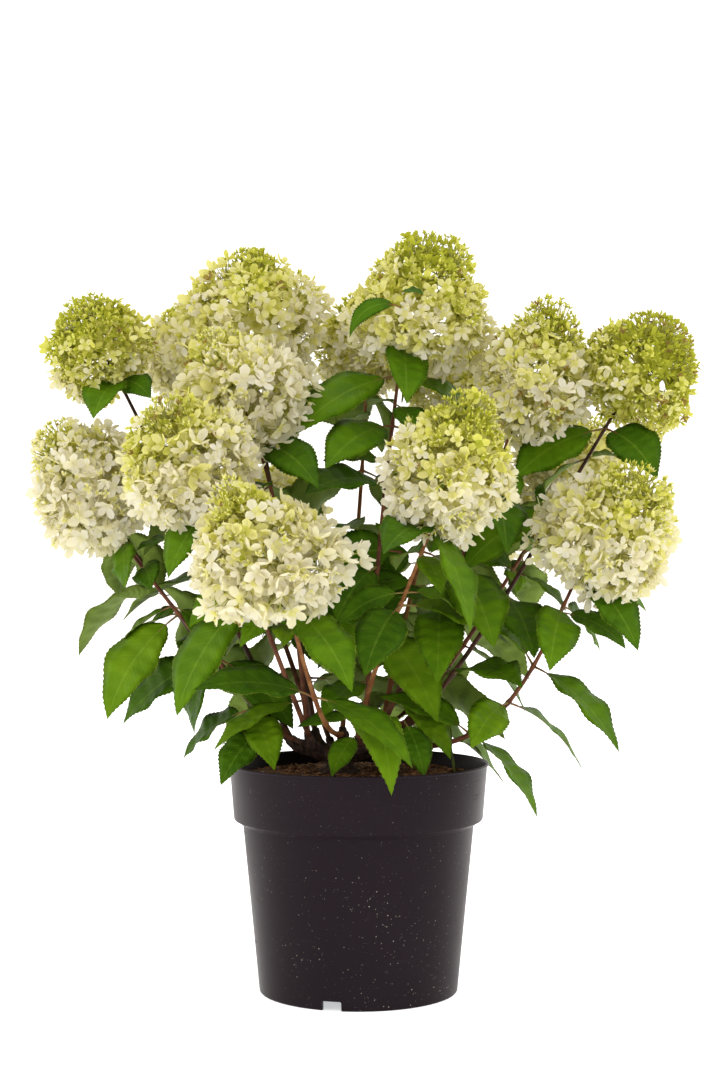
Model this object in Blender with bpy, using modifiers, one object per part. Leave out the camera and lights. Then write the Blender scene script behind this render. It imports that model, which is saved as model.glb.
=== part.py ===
"""Panicle hydrangea in a round nursery pot.

A short woody crown stands on the potting soil. Old-wood spurs fork from it, and a cane rises from
each spur. The bare foot of a cane is one limb. Above its first leaves the cane, its leaves and its
flower head are one mass. A few leafy shoots without flowers stand on spurs of their own.

Metres, +Z up. The origin is the centre of the pot's underside, and -Y is the front.
"""

import math
import random

import bmesh
import bpy
from mathutils import Matrix, Vector
from mathutils.bvhtree import BVHTree

SEED = 7
GAP = 0.0003  # between two pieces that meet
UP = Vector((0, 0, 1))
SHARP_ANGLE = math.radians(35)

# Pot: a tapered body with a wider collar, on a foot ring with drain notches.
POT_HEIGHT = 0.210
RIM_RADIUS = 0.1195
RIM_BEAD = 0.0012
RIM_BEAD_HEIGHT = 0.003
COLLAR_FOOT_RADIUS = 0.1150
COLLAR_FOOT_Z = 0.1585
SHOULDER_RADIUS = 0.1066
SHOULDER_Z = 0.153
FOOT_RADIUS = 0.0915
FOOT_ROUNDING = 0.002
FOOT_RING = 0.0045
POT_WALL = 0.002
FLOOR_UNDERSIDE = 0.0095
FLOOR_THICKNESS = 0.0025
POT_SIDES = 36
NOTCH_COUNT = 3
NOTCH_FIRST_ANGLE = -105
NOTCH_WIDTH = 0.0176
NOTCH_HEIGHT = 0.0085
NOTCH_DEPTH = 0.024

# Potting soil: level round the crown, falling a little to the wall.
SOIL_LEVEL = 0.1995
SOIL_LEVEL_RADIUS = 0.062
SOIL_WALL_LEVEL = 0.196
SOIL_SIDES = 36

# Seen from above, the shrub is wider than it is deep.
SHRUB_MIDDLE = Vector((0, 0.05, 0))
SHRUB_WIDE = 0.30
SHRUB_DEEP = 0.16

# Crown: a flared stump, with one old-wood spur for each cane and shoot.
CROWN_CENTRE = Vector((-0.018, 0.0, SOIL_LEVEL + GAP))
# Each ring of the stump: its height and its radius.
CROWN_RINGS = ((0.0, 0.0235), (0.005, 0.0180), (0.012, 0.0150), (0.022, 0.0130), (0.030, 0.0085))
CROWN_SIDES_DETAIL = 2
CROWN_LEAN = Vector((0.10, -0.05, 0))
SPUR_FOOT_HEIGHT = 0.013
SPUR_FOOT_REACH = 0.006
SPUR_KNEE = 0.010  # from a spur's tip back to where it bends towards its cane
SPUR_FOOT_RADIUS = 0.0066
SPUR_KNEE_RADIUS = 0.0059
SPUR_TIP_RADIUS = 0.0052
SPUR_RISE = 0.052  # the height of a spur's tip, less the next share of its reach
SPUR_FALL = 0.45

# Canes
CANE_RADIUS = 0.0040
CANE_TIP_RADIUS = 0.0021
CANE_STEPS = 14
CANE_SEGMENTS = 3
BLOOM_SEGMENTS = 5
BUTT = 0.003  # how far a limb runs straight at each end
SHOOT_RADIUS = 0.0028
SHOOT_TIP_RADIUS = 0.0017
FIRST_LEAF_ROOM = 0.014  # from the end of the bare foot up to the first leaves
PEDUNCLE_DEPTH = 0.9  # how far a cane runs from the foot of its flower head to the middle
PEDUNCLE_FOOT = 1.6  # where a cane takes its head's lean, in half heights under the middle

# Leaves
LEAF_LENGTH = 0.118
LEAF_SHAPE = 0.44  # width over length
LEAF_SPREAD = 0.05  # how much single leaves vary in length
LEAF_ROLL = 14  # and how far they roll about their midribs, in degrees
LEAF_ARCH = 20  # degrees that a leaf leaves its cane above its chord, and that its tip falls below
LEAF_FOLD = 0.22
LEAF_STEPS = 12
LEAF_FACING = 0.75  # how far a leaf turns its face outwards, against upwards
LEAF_THICKNESS = 0.0014
PETIOLE_SHARE = 0.13
PETIOLE_RADIUS = 0.0013
LEAF_STATIONS = (0.0, 0.13, 0.36, 0.68)
LEAF_CLEARANCE = 0.0007
# How a leaf that is in the way turns aside: degrees of heading and of droop.
LEAF_TRIES = ((0, 0), (14, 0), (-14, 0), (0, 12), (0, -12), (28, 6), (-28, 6), (40, -10), (-40, -10),
              (20, 20), (-20, 20), (56, 0), (-56, 0))

# Flower heads
HEAD_CORE = 0.74  # the dense middle, as a share of the head
HEAD_TAPER = 0.15  # how much wider a head is at its foot than at its middle
HEAD_MARGIN = 0.93  # how far a leaf of another mass may reach into a head
CORE_SIDES = 9
CORE_RINGS = 5
FLORETS = 16
FLORET_RADIUS = 0.0215
FLORET_HEAD_WIDTH = 0.065  # the half width of a head whose florets have that radius
FLORET_SHRINK = 0.25  # how much smaller the florets at the top are
FLORET_SPREAD = 0.10
FLORET_DISH = 0.12  # how far a floret's middle lies under its petal tips, as a share of the head
FLORET_CLEARANCE = 1.03
LOWEST_FLORET = -0.80
STALK_DEPTH = 0.88  # where a floret's stalk ends, as a share of the core
GOLDEN_ANGLE = math.pi * (3 - math.sqrt(5))


def pairs(heading, *shares):
    """Opposite pairs of leaves, each a quarter turn on from the last. The highest ones are smaller."""
    nodes = []
    for k, share in enumerate(shares):
        facing, droop, size = heading + 90 * k, 22 + 30 * share, 1.0 if share < 0.8 else 0.8
        nodes.append((share, (facing, droop, size), (facing + 180, droop, size)))
    return tuple(nodes)


# Each cane: the flower head's centre, its half width and half height, and its lean (heading, degrees);
# then the heading and reach of the cane's spur on the crown, and how far the cane bows outwards.
# A node is its share of the cane and its leaves, each (heading, droop, size), or with an arch of its own.
# Headings turn from +X towards +Y, a droop is degrees under the level, and a size is in LEAF_LENGTHs.
CANES = {
    "top_centre": dict(
        centre=(0.048, 0.000, 0.638), half=(0.072, 0.066), lean=(350, 10), spur=(20, 0.026), bow=-0.05,
        nodes=((0.12, (266, 15, 0.7)), (0.25, (310, 37, 1.05), (130, 30, 0.8)), (0.38, (240, 35, 0.8)),
               (0.56, (228, 8, 0.95), (20, 25, 0.9)), (0.69, (233, 25, 0.95), (40, 30, 0.9)),
               (0.81, (207, 30, 1.1), (10, 30, 0.8)), (0.90, (271, 42, 0.85), (90, 40, 0.7)))),
    "upper_left": dict(
        centre=(-0.108, 0.085, 0.630), half=(0.078, 0.074), lean=(150, 6), spur=(139, 0.030), bow=0.0,
        nodes=pairs(150, 0.35, 0.60) + ((0.85, (345, 30, 0.8), (165, 40, 0.8)),)),
    "middle_left": dict(
        centre=(-0.110, -0.025, 0.549), half=(0.070, 0.064), lean=(200, 26), spur=(196, 0.030), bow=0.05,
        nodes=((0.12, (252, 35, 0.85)), (0.40, (170, 25, 0.9), (350, 25, 0.9)),
               (0.64, (80, 20, 0.9), (260, 30, 0.7)), (0.86, (304, 25, 0.95), (150, 30, 0.7)))),
    "front_left": dict(
        centre=(-0.147, -0.110, 0.485), half=(0.062, 0.062), lean=(210, 32), spur=(222, 0.036), bow=0.10,
        nodes=((0.57, (200, 58, 1.05), (20, 40, 0.9)), (0.86, (254, 44, 0.8), (80, 30, 0.8)))),
    "far_left": dict(
        centre=(-0.254, 0.020, 0.461), half=(0.058, 0.066), lean=(188, 34), spur=(186, 0.044), bow=0.10,
        nodes=((0.40, (164, 36, 1.0), (344, 30, 0.9)), (0.57, (203, 56, 1.05), (125, 22, 0.85)),
               (0.84, (280, 40, 0.6), (100, 40, 0.8)))),
    "far_left_top": dict(
        centre=(-0.249, 0.060, 0.602), half=(0.058, 0.050), lean=(178, 32), spur=(168, 0.046), bow=0.10,
        nodes=((0.40, (320, 30, 1.0), (140, 25, 0.9)), (0.66, (340, 30, 0.9)),
               (0.88, (260, 30, 0.8), (305, 20, 0.6)))),
    "front_low": dict(
        centre=(-0.073, -0.180, 0.407), half=(0.070, 0.060), lean=(235, 28), spur=(276, 0.030), bow=0.60,
        nodes=((0.43, (200, -3, 0.95), (316, 26, 1.05)), (0.82, (305, 37, 1.0), (205, 40, 0.5)))),
    "front_centre": dict(
        centre=(0.079, -0.150, 0.477), half=(0.056, 0.067), lean=(315, 22), spur=(314, 0.028), bow=-0.22,
        nodes=((0.55, (248, 36, 0.85), (68, 30, 1.0)), (0.84, (288, 46, 1.05), (242, 17, 0.85)))),
    "upper_right": dict(
        centre=(0.154, -0.025, 0.570), half=(0.057, 0.072), lean=(0, 12), spur=(344, 0.038), bow=0.0,
        nodes=((0.14, (279, 52, 0.7)), (0.41, (286, 31, 1.0), (80, 25, 1.0)),
               (0.50, (285, 34, 1.05), (60, 30, 1.0)), (0.73, (301, 32, 1.0), (120, 30, 0.9)))),
    "far_right_top": dict(
        centre=(0.260, -0.020, 0.570), half=(0.060, 0.054), lean=(352, 36), spur=(6, 0.050), bow=0.22,
        nodes=((0.23, (300, 5, 0.95), (120, 20, 0.9)), (0.42, (279, 27, 1.05), (99, 25, 1.0)),
               (0.62, (200, 35, 0.9), (20, 30, 0.8)), (0.82, (284, 33, 0.8), (222, 20, 0.9)))),
    "far_right": dict(
        centre=(0.216, -0.080, 0.424), half=(0.064, 0.064), lean=(325, 34), spur=(335, 0.052), bow=0.90,
        nodes=((0.25, (308, 38, 1.0), (160, -20, 0.8)), (0.42, (241, 26, 0.75), (36, 38, 0.95)),
               (0.56, (318, 39, 1.05), (138, -40, 0.8)), (0.76, (256, 34, 0.85), (55, 33, 0.7)),
               (0.87, (319, 37, 0.8), (21, 25, 0.8)))),
    "back_right_top": dict(
        centre=(0.100, 0.120, 0.566), half=(0.053, 0.053), lean=(40, 14), spur=(14, 0.040), bow=-0.05,
        nodes=((0.28, (126, 30, 0.9)), (0.50, (200, 35, 1.0), (20, 35, 1.0)),
               (0.78, (60, 45, 0.9), (240, 40, 0.9)))),
    "back_centre_top": dict(
        centre=(0.008, 0.140, 0.614), half=(0.052, 0.052), lean=(95, 14), spur=(84, 0.030), bow=0.0,
        nodes=((0.40, (279, 34, 0.8), (99, 30, 1.0)),) + pairs(20, 0.62, 0.85)),
    "back_left_top": dict(
        centre=(-0.172, 0.170, 0.606), half=(0.051, 0.051), lean=(125, 26), spur=(118, 0.046), bow=0.05,
        nodes=pairs(110, 0.36, 0.60, 0.85)),
    "back_right": dict(
        centre=(0.212, 0.135, 0.495), half=(0.052, 0.050), lean=(30, 26), spur=(26, 0.054), bow=0.10,
        nodes=((0.36, (120, 35, 1.0), (300, 30, 1.0)), (0.65, (291, 0, 0.85), (80, 40, 0.9)),
               (0.86, (0, 50, 0.8), (150, 45, 0.8)))),
    "back_left": dict(
        centre=(-0.256, 0.135, 0.462), half=(0.053, 0.050), lean=(155, 30), spur=(152, 0.054), bow=0.14,
        nodes=pairs(60, 0.40, 0.66) + ((0.86, (95, 50, 0.8), (330, 40, 0.7)),)),
    "back_centre_left": dict(
        centre=(-0.095, 0.190, 0.440), half=(0.058, 0.054), lean=(110, 34), spur=(100, 0.058), bow=0.10,
        nodes=pairs(150, 0.32, 0.58, 0.84)),
    "back_centre_right": dict(
        centre=(0.122, 0.185, 0.452), half=(0.060, 0.056), lean=(70, 30), spur=(64, 0.060), bow=0.10,
        nodes=pairs(100, 0.32, 0.58, 0.84)),
}

# Each leafy shoot without a flower: its tip, then its spur and its nodes, as for a cane.
SHOOTS = {
    "front": dict(
        tip=(-0.004, -0.060, 0.254), spur=(295, 0.048),
        nodes=((0.45, (300, 34, 0.85, 48), (235, 55, 0.45)), (0.95, (60, 15, 0.5), (200, 20, 0.5)))),
    "front_right": dict(
        tip=(0.042, -0.045, 0.252), spur=(318, 0.046),
        nodes=((0.55, (325, 22, 0.8), (140, 20, 0.6)), (0.97, (270, 50, 0.65), (292, 60, 0.55)))),
    "left": dict(
        tip=(-0.102, -0.012, 0.259), spur=(206, 0.044),
        nodes=((0.50, (232, 50, 0.7), (130, 20, 0.7)), (0.97, (280, 39, 0.7), (150, 35, 0.8)))),
    "back_right": dict(tip=(0.072, 0.060, 0.270), spur=(52, 0.046), nodes=pairs(5, 0.50, 0.95)),
}


def material(name, colour, roughness):
    made = bpy.data.materials.new(name)
    made.use_nodes = True
    shader = made.node_tree.nodes["Principled BSDF"]
    shader.inputs["Base Color"].default_value = (*colour, 1)
    shader.inputs["Roughness"].default_value = roughness
    return made


def new_object(name, mesh, group, *finishes):
    made = bpy.data.objects.new(name, mesh)
    for finish in finishes:
        mesh.materials.append(finish)
    group.objects.link(made)
    return made


def mesh_of(name, points, faces, edges=()):
    mesh = bpy.data.meshes.new(name)
    mesh.from_pydata([tuple(p) for p in points], list(edges), list(faces))
    mesh.update()
    return mesh


def evaluated_mesh(made):
    """A copy of the object's mesh with its modifiers and bevels applied."""
    bpy.context.view_layer.update()
    graph = bpy.context.evaluated_depsgraph_get()
    return bpy.data.meshes.new_from_object(made.evaluated_get(graph))


def smooth(made):
    made.data.shade_smooth()
    made.data.set_sharp_from_angle(angle=SHARP_ANGLE)


def direction(heading, pitch):
    around, up = math.radians(heading), math.radians(pitch)
    return Vector((math.cos(around) * math.cos(up), math.sin(around) * math.cos(up), math.sin(up)))


def loft(rings, tip=None):
    """Points and faces of a closed skin over rings of equal count, ending in a cap or in one point."""
    sides = len(rings[0])
    points = [p for ring in rings for p in ring]
    faces = [tuple(range(sides))[::-1]]
    for k in range(len(rings) - 1):
        for i in range(sides):
            j = (i + 1) % sides
            faces.append((k * sides + i, k * sides + j, (k + 1) * sides + j, (k + 1) * sides + i))
    last = (len(rings) - 1) * sides
    if tip is None:
        faces.append(tuple(range(last, last + sides)))
    else:
        points.append(tip)
        faces.extend((last + i, last + (i + 1) % sides, len(points) - 1) for i in range(sides))
    return points, faces


# ---------------------------------------------------------------- pot and soil


def turned(name, profile, sides, group, finish):
    """A solid of revolution: the profile runs from the axis over the top and down its outer side."""
    edges = [(i, i + 1) for i in range(len(profile) - 1)]
    mesh = mesh_of(name, [(r, 0, z) for r, z in profile], [], edges)
    made = new_object(name, mesh, group, finish)
    screw = made.modifiers.new("turn", "SCREW")
    screw.steps = screw.render_steps = sides
    screw.use_merge_vertices = True
    screw.merge_threshold = 0.0001
    return made


def inner_radius(z):
    """Radius of the pot's inner wall at a height."""
    foot = FLOOR_UNDERSIDE + FLOOR_THICKNESS
    if z <= SHOULDER_Z:
        share = (z - foot) / (SHOULDER_Z - foot)
        return FOOT_RADIUS - POT_WALL + share * (SHOULDER_RADIUS - FOOT_RADIUS)
    step_top = COLLAR_FOOT_Z + POT_WALL
    if z <= step_top:
        share = (z - SHOULDER_Z) / (step_top - SHOULDER_Z)
        return SHOULDER_RADIUS - POT_WALL + share * (COLLAR_FOOT_RADIUS - SHOULDER_RADIUS)
    share = (z - step_top) / (POT_HEIGHT - step_top)
    return COLLAR_FOOT_RADIUS - POT_WALL + share * (RIM_RADIUS - COLLAR_FOOT_RADIUS)


def make_pot(group, cutters):
    floor_top = FLOOR_UNDERSIDE + FLOOR_THICKNESS
    inside = [(0, floor_top)] + [
        (inner_radius(z), z) for z in (floor_top, SHOULDER_Z, COLLAR_FOOT_Z + POT_WALL, POT_HEIGHT)
    ]
    outside = [
        (RIM_RADIUS, POT_HEIGHT),
        (RIM_RADIUS + RIM_BEAD, POT_HEIGHT - RIM_BEAD),
        (RIM_RADIUS + RIM_BEAD, POT_HEIGHT - RIM_BEAD_HEIGHT),
        (RIM_RADIUS - RIM_BEAD / 4, POT_HEIGHT - RIM_BEAD_HEIGHT - RIM_BEAD),
        (COLLAR_FOOT_RADIUS, COLLAR_FOOT_Z),
        (SHOULDER_RADIUS, SHOULDER_Z),
        (FOOT_RADIUS, FOOT_ROUNDING),
        (FOOT_RADIUS - FOOT_ROUNDING / 2, 0),
        (FOOT_RADIUS - FOOT_RING, 0),
        (FOOT_RADIUS - FOOT_RING, FLOOR_UNDERSIDE),
        (0, FLOOR_UNDERSIDE),
    ]
    plastic = material("black plastic", (0.030, 0.024, 0.028), 0.45)
    pot = turned("pot", inside + outside, POT_SIDES, group, plastic)
    for k in range(NOTCH_COUNT):
        angle = math.radians(NOTCH_FIRST_ANGLE + k * 360 / NOTCH_COUNT)
        bpy.ops.mesh.primitive_cube_add(size=1)
        cutter = bpy.context.object
        cutter.name = f"drain_notch_{k + 1}"
        for owner in list(cutter.users_collection):
            owner.objects.unlink(cutter)
        cutters.objects.link(cutter)
        cutter.scale = (NOTCH_DEPTH, NOTCH_WIDTH, 2 * NOTCH_HEIGHT)
        cutter.rotation_euler = (0, 0, angle)
        cutter.location = (FOOT_RADIUS * math.cos(angle), FOOT_RADIUS * math.sin(angle), 0)
        cutter.hide_render = True
        cutter.display_type = "WIRE"
        cut = pot.modifiers.new(cutter.name, "BOOLEAN")
        cut.operation = "DIFFERENCE"
        cut.object = cutter
    pot.data = evaluated_mesh(pot)
    pot.modifiers.clear()
    smooth(pot)
    return pot


def make_soil(group):
    floor_top = FLOOR_UNDERSIDE + FLOOR_THICKNESS + GAP
    heights = (SOIL_WALL_LEVEL, COLLAR_FOOT_Z + POT_WALL, SHOULDER_Z, floor_top)
    side = [(inner_radius(z) - GAP, z) for z in heights]
    profile = [(0, SOIL_LEVEL), (SOIL_LEVEL_RADIUS, SOIL_LEVEL)] + side + [(0, floor_top)]
    return turned("potting_soil", profile, SOIL_SIDES, group, material("peat", (0.075, 0.035, 0.022), 0.95))


# ---------------------------------------------------------------- limbs


def bezier(a, b, c, d, share):
    rest = 1 - share
    return a * rest**3 + b * (3 * rest * rest * share) + c * (3 * rest * share * share) + d * share**3


class Limb:
    """A curved cane or shoot: its line from the spur's tip, and its thickness along it."""

    def __init__(self, start, first, last, end, radius, tip_radius):
        self.line = [bezier(start, first, last, end, k / CANE_STEPS) for k in range(CANE_STEPS + 1)]
        self.radius, self.tip_radius = radius, tip_radius

    def at(self, share):
        place = min(max(share, 0.0), 1.0) * CANE_STEPS
        k = min(int(place), CANE_STEPS - 1)
        return self.line[k].lerp(self.line[k + 1], place - k)

    def heading(self, share):
        step = 0.5 / CANE_STEPS
        return (self.at(share + step) - self.at(share - step)).normalized()

    def length(self):
        return sum((self.line[k + 1] - self.line[k]).length for k in range(CANE_STEPS))

    def thickness(self, share):
        return self.radius + (self.tip_radius - self.radius) * share

    def stretch(self, low, high, steps):
        """Points and radii from one share to another, with square ends for the pieces that they meet."""
        shares = [low + (high - low) * k / steps for k in range(steps + 1)]
        points = [self.at(s) for s in shares]
        points.insert(1, points[0] + self.heading(low) * BUTT)
        points.insert(-1, points[-1] - self.heading(high) * BUTT)
        shares = [low] + shares[:-1] + [high, high]
        return points, [self.thickness(s) for s in shares]


def tube(name, points, radii, group, finish, detail=1):
    """A tapering round limb, as a poly curve with a bevel."""
    curve = bpy.data.curves.new(name, "CURVE")
    curve.dimensions = "3D"
    curve.bevel_depth = 1.0
    curve.bevel_resolution = detail
    curve.use_fill_caps = True
    spline = curve.splines.new("POLY")
    spline.points.add(len(points) - 1)
    for spot, place, radius in zip(spline.points, points, radii):
        spot.co = (*place, 1)
        spot.radius = radius
    made = bpy.data.objects.new(name, curve)
    curve.materials.append(finish)
    group.objects.link(made)
    return made


def as_mesh(tube_object, group):
    """The tube as a mesh object with its caps welded, so that it can be joined."""
    mesh = evaluated_mesh(tube_object)
    shape = bmesh.new()
    shape.from_mesh(mesh)
    bmesh.ops.remove_doubles(shape, verts=shape.verts, dist=1e-5)
    shape.to_mesh(mesh)
    shape.free()
    name, place = tube_object.name, tube_object.matrix_world.copy()
    bpy.data.objects.remove(tube_object)
    made = new_object(name, mesh, group)
    made.matrix_world = place
    return made


def spur_tip(spur):
    """Where a spur ends: a far one lies low, a near one stands up."""
    heading, reach = spur
    return CROWN_CENTRE + direction(heading, 0) * reach + UP * (SPUR_RISE - SPUR_FALL * reach)


def outward(place):
    """Level direction straight out of the shrub, which is wider than it is deep."""
    away = place - SHRUB_MIDDLE
    return Vector((away.x / SHRUB_WIDE**2, away.y / SHRUB_DEEP**2, 0)).normalized()


class Head:
    """The space of one flower head: an egg with its wide end down, on a leaning axis."""

    def __init__(self, centre, half, lean):
        self.centre = Vector(centre)
        self.width, self.height = half
        self.axis = direction(lean[0], 90 - lean[1])
        self.turn = self.axis.to_track_quat("Z", "Y").to_matrix()

    def spot(self, unit, scale):
        """The point in this direction from the centre, at a share of the way to the skin."""
        wide = self.width * (1 - HEAD_TAPER * unit.z) * scale
        return self.centre + self.turn @ Vector((unit.x * wide, unit.y * wide, unit.z * self.height * scale))

    def depth(self, place):
        """Under 1 inside the head's skin, over 1 outside it."""
        local = self.turn.transposed() @ (place - self.centre)
        tall = max(-1.0, min(1.0, local.z / self.height))
        wide = self.width * (1 - HEAD_TAPER * tall)
        return math.sqrt((local.x / wide) ** 2 + (local.y / wide) ** 2 + (local.z / self.height) ** 2)


def cane_limb(row, head):
    """A cane rises from its spur and takes the lean of its head."""
    start = spur_tip(row["spur"])
    end = head.centre - head.axis * head.height * (1 - PEDUNCLE_DEPTH)
    foot = head.centre - head.axis * head.height * PEDUNCLE_FOOT
    level, rise = Vector((foot.x - start.x, foot.y - start.y, 0)), foot.z - start.z
    first = start + level * (0.30 + 0.6 * row["bow"]) + UP * rise * (0.36 - 0.6 * row["bow"])
    return Limb(start, first, foot, end, CANE_RADIUS, CANE_TIP_RADIUS)


def shoot_limb(row):
    """A shoot leaves its spur low and then turns up."""
    start, end = spur_tip(row["spur"]), Vector(row["tip"])
    first = start.lerp(end, 0.4) - UP * 0.006
    return Limb(start, first, end.lerp(start, 0.3) + UP * 0.004, end, SHOOT_RADIUS, SHOOT_TIP_RADIUS)


def ring_tube(points, radii, sides=6):
    """Points and faces of a plain tube, for testing room only."""
    rings = []
    for k, place in enumerate(points):
        way = (points[min(k + 1, len(points) - 1)] - points[max(k - 1, 0)]).normalized()
        across = way.orthogonal().normalized()
        along = way.cross(across)
        angles = [2 * math.pi * i / sides for i in range(sides)]
        rings.append([place + (across * math.cos(a) + along * math.sin(a)) * radii[k] for a in angles])
    return loft(rings)


# ---------------------------------------------------------------- leaves and florets


def leaf_width(share):
    """Half the blade's width at a share of the leaf, over half its full width. The petiole is not blade."""
    blade = (share - PETIOLE_SHARE) / (1 - PETIOLE_SHARE)
    if blade <= 0:
        return 0.0
    return math.sin(math.pi * blade**0.80) ** 0.85


def leaf_line(foot, heading, droop, arch, length):
    """Points and directions along a leaf's midrib, which arches over under its own weight."""
    place, line = foot.copy(), []
    for k in range(LEAF_STEPS + 1):
        way = direction(heading, -droop + arch * (1 - 2 * k / LEAF_STEPS))
        line.append((place.copy(), way))
        place = place + way * (length / LEAF_STEPS)
    return line


def leaf_solid(foot, heading, droop, arch, length, roll, grow=0.0):
    """Points and faces of one leaf: a petiole and a folded blade, with its upper face to the light."""
    line = leaf_line(foot, heading, droop, arch, length)
    facing = (outward(foot) * LEAF_FACING + UP).normalized()
    rings = []
    for share in LEAF_STATIONS:
        place, way = line[round(share * LEAF_STEPS)]
        upper = (facing - way * facing.dot(way)).normalized()
        upper.rotate(Matrix.Rotation(math.radians(roll), 3, way))
        side = way.cross(upper)
        wide = max(length * LEAF_SHAPE / 2 * leaf_width(share), PETIOLE_RADIUS) + grow
        blade = share > PETIOLE_SHARE
        lift = upper * (wide * LEAF_FOLD if blade else 0)
        above = grow if blade else PETIOLE_RADIUS * 0.8 + grow
        under = (LEAF_THICKNESS if blade else PETIOLE_RADIUS * 1.6) + grow
        rings.append([
            place + upper * above,
            place + side * wide + lift,
            place - upper * under,
            place - side * wide + lift,
        ])
    tip, way = line[-1]
    return loft(rings, tip + way * grow)


def floret_solid(head, unit, radius, turn, grow=1.0):
    """Points and faces of one four-petalled floret: petal tips on the head's skin, its stalk in the core."""
    shape = bmesh.new()
    bmesh.ops.create_uvsphere(shape, u_segments=4, v_segments=2, radius=1)
    across = unit.orthogonal().normalized()
    across.rotate(Matrix.Rotation(turn, 3, unit))
    along = unit.cross(across)
    spread = radius * grow / head.width
    for vert in shape.verts:
        if vert.co.z > 0.5:
            vert.co = head.spot(unit, (1 - FLORET_DISH) * grow)
        elif vert.co.z < -0.5:
            vert.co = head.spot(unit, HEAD_CORE * STALK_DEPTH)
        else:
            tip = unit + (across * vert.co.x + along * vert.co.y) * spread
            vert.co = head.spot(tip.normalized(), grow)
    points = [v.co.copy() for v in shape.verts]
    faces = [tuple(v.index for v in f.verts) for f in shape.faces]
    shape.free()
    return points, faces


class Standing:
    """What already stands, by owner, so that nothing new touches it."""

    def __init__(self):
        self.trees = []

    def add(self, owner, points, faces):
        self.trees.append((owner, BVHTree.FromPolygons(points, faces)))

    def add_object(self, made):
        graph = bpy.context.evaluated_depsgraph_get()
        self.trees.append((made.name, BVHTree.FromObject(made, graph)))

    def clear_of(self, owner, points, faces):
        tree = BVHTree.FromPolygons(points, faces)
        return not any(other != owner and tree.overlap(built) for other, built in self.trees)


def leaf_fits(owner, heads, standing, leaf):
    """True where the leaf stays out of every flower head, limb and leaf of another mass."""
    points, faces = leaf_solid(*leaf, LEAF_CLEARANCE)
    for name, head in heads.items():
        least = HEAD_CORE if name == owner else HEAD_MARGIN
        if any(head.depth(place) < least for place in points[8:]):
            return False
    return standing.clear_of(owner, points, faces)


def grow_leaves(owner, limb, nodes, heads, standing, chance):
    """The leaves of one cane that find room, as points and faces. One that is in the way turns aside."""
    grown = []
    for share, *leaves in nodes:
        for heading, droop, size, *own_arch in leaves:
            arch = own_arch[0] if own_arch else LEAF_ARCH
            length = LEAF_LENGTH * size * (1 + chance.uniform(-LEAF_SPREAD, LEAF_SPREAD))
            roll = chance.uniform(-LEAF_ROLL, LEAF_ROLL)
            for turn, fall in LEAF_TRIES:
                leaf = limb.at(share), heading + turn, droop + fall, arch, length, roll
                if leaf_fits(owner, heads, standing, leaf):
                    standing.add(owner, *leaf_solid(*leaf, LEAF_CLEARANCE))
                    grown.append(leaf_solid(*leaf))
                    break
    return grown


def grow_florets(owner, head, standing, chance):
    """The florets of one head that find room, spread evenly over its skin by the golden angle."""
    grown = []
    for k in range(FLORETS):
        tall = 1 - (2 * k + 1) / FLORETS
        if tall < LOWEST_FLORET:
            continue
        around = k * GOLDEN_ANGLE
        wide = math.sqrt(1 - tall * tall)
        unit = Vector((wide * math.cos(around), wide * math.sin(around), tall))
        size = head.width / FLORET_HEAD_WIDTH * (1 - FLORET_SHRINK * tall)
        radius = FLORET_RADIUS * size * (1 + chance.uniform(-FLORET_SPREAD, FLORET_SPREAD))
        petals = chance.uniform(0, math.pi / 2)
        if standing.clear_of(owner, *floret_solid(head, unit, radius, petals, FLORET_CLEARANCE)):
            standing.add(owner, *floret_solid(head, unit, radius, petals, FLORET_CLEARANCE))
            grown.append(floret_solid(head, unit, radius, petals))
    return grown


def core_solid(head):
    """Points and faces of the dense middle of a flower head."""
    shape = bmesh.new()
    bmesh.ops.create_uvsphere(shape, u_segments=CORE_SIDES, v_segments=CORE_RINGS, radius=1)
    points = [head.spot(v.co.normalized(), HEAD_CORE) for v in shape.verts]
    faces = [tuple(v.index for v in f.verts) for f in shape.faces]
    shape.free()
    return points, faces


# ---------------------------------------------------------------- joining


def keep_outer_skin(mesh):
    """Drops sealed hollows and loose scraps, so that the largest skin is left."""
    shape = bmesh.new()
    shape.from_mesh(mesh)
    left, skins = set(shape.faces), []
    while left:
        skin, reached = [], [left.pop()]
        while reached:
            face = reached.pop()
            skin.append(face)
            for edge in face.edges:
                beside = [other for other in edge.link_faces if other in left]
                left.difference_update(beside)
                reached.extend(beside)
        skins.append(skin)
    largest = set(max(skins, key=len))
    bmesh.ops.delete(shape, geom=[face for face in shape.faces if face not in largest], context="FACES")
    bmesh.ops.triangulate(shape, faces=shape.faces)
    shape.to_mesh(mesh)
    shape.free()


def join_into(base, pieces):
    """One union of the base object with a collection of meshes, applied, and the collection removed.

    EXACT leaves slits that are too thin to build where leaves and florets crowd, so MANIFOLD is used.
    """
    parts = bpy.data.collections.new(base.name + "_parts")
    bpy.context.scene.collection.children.link(parts)
    for k, mesh in enumerate(pieces):
        new_object(f"{base.name}_piece_{k}", mesh, parts)
    union = base.modifiers.new("join", "BOOLEAN")
    union.operation = "UNION"
    union.operand_type = "COLLECTION"
    union.collection = parts
    union.solver = "MANIFOLD"
    base.data = evaluated_mesh(base)
    base.modifiers.clear()
    for piece in list(parts.objects):
        bpy.data.objects.remove(piece)
    bpy.data.collections.remove(parts)
    keep_outer_skin(base.data)
    smooth(base)
    return base


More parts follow.
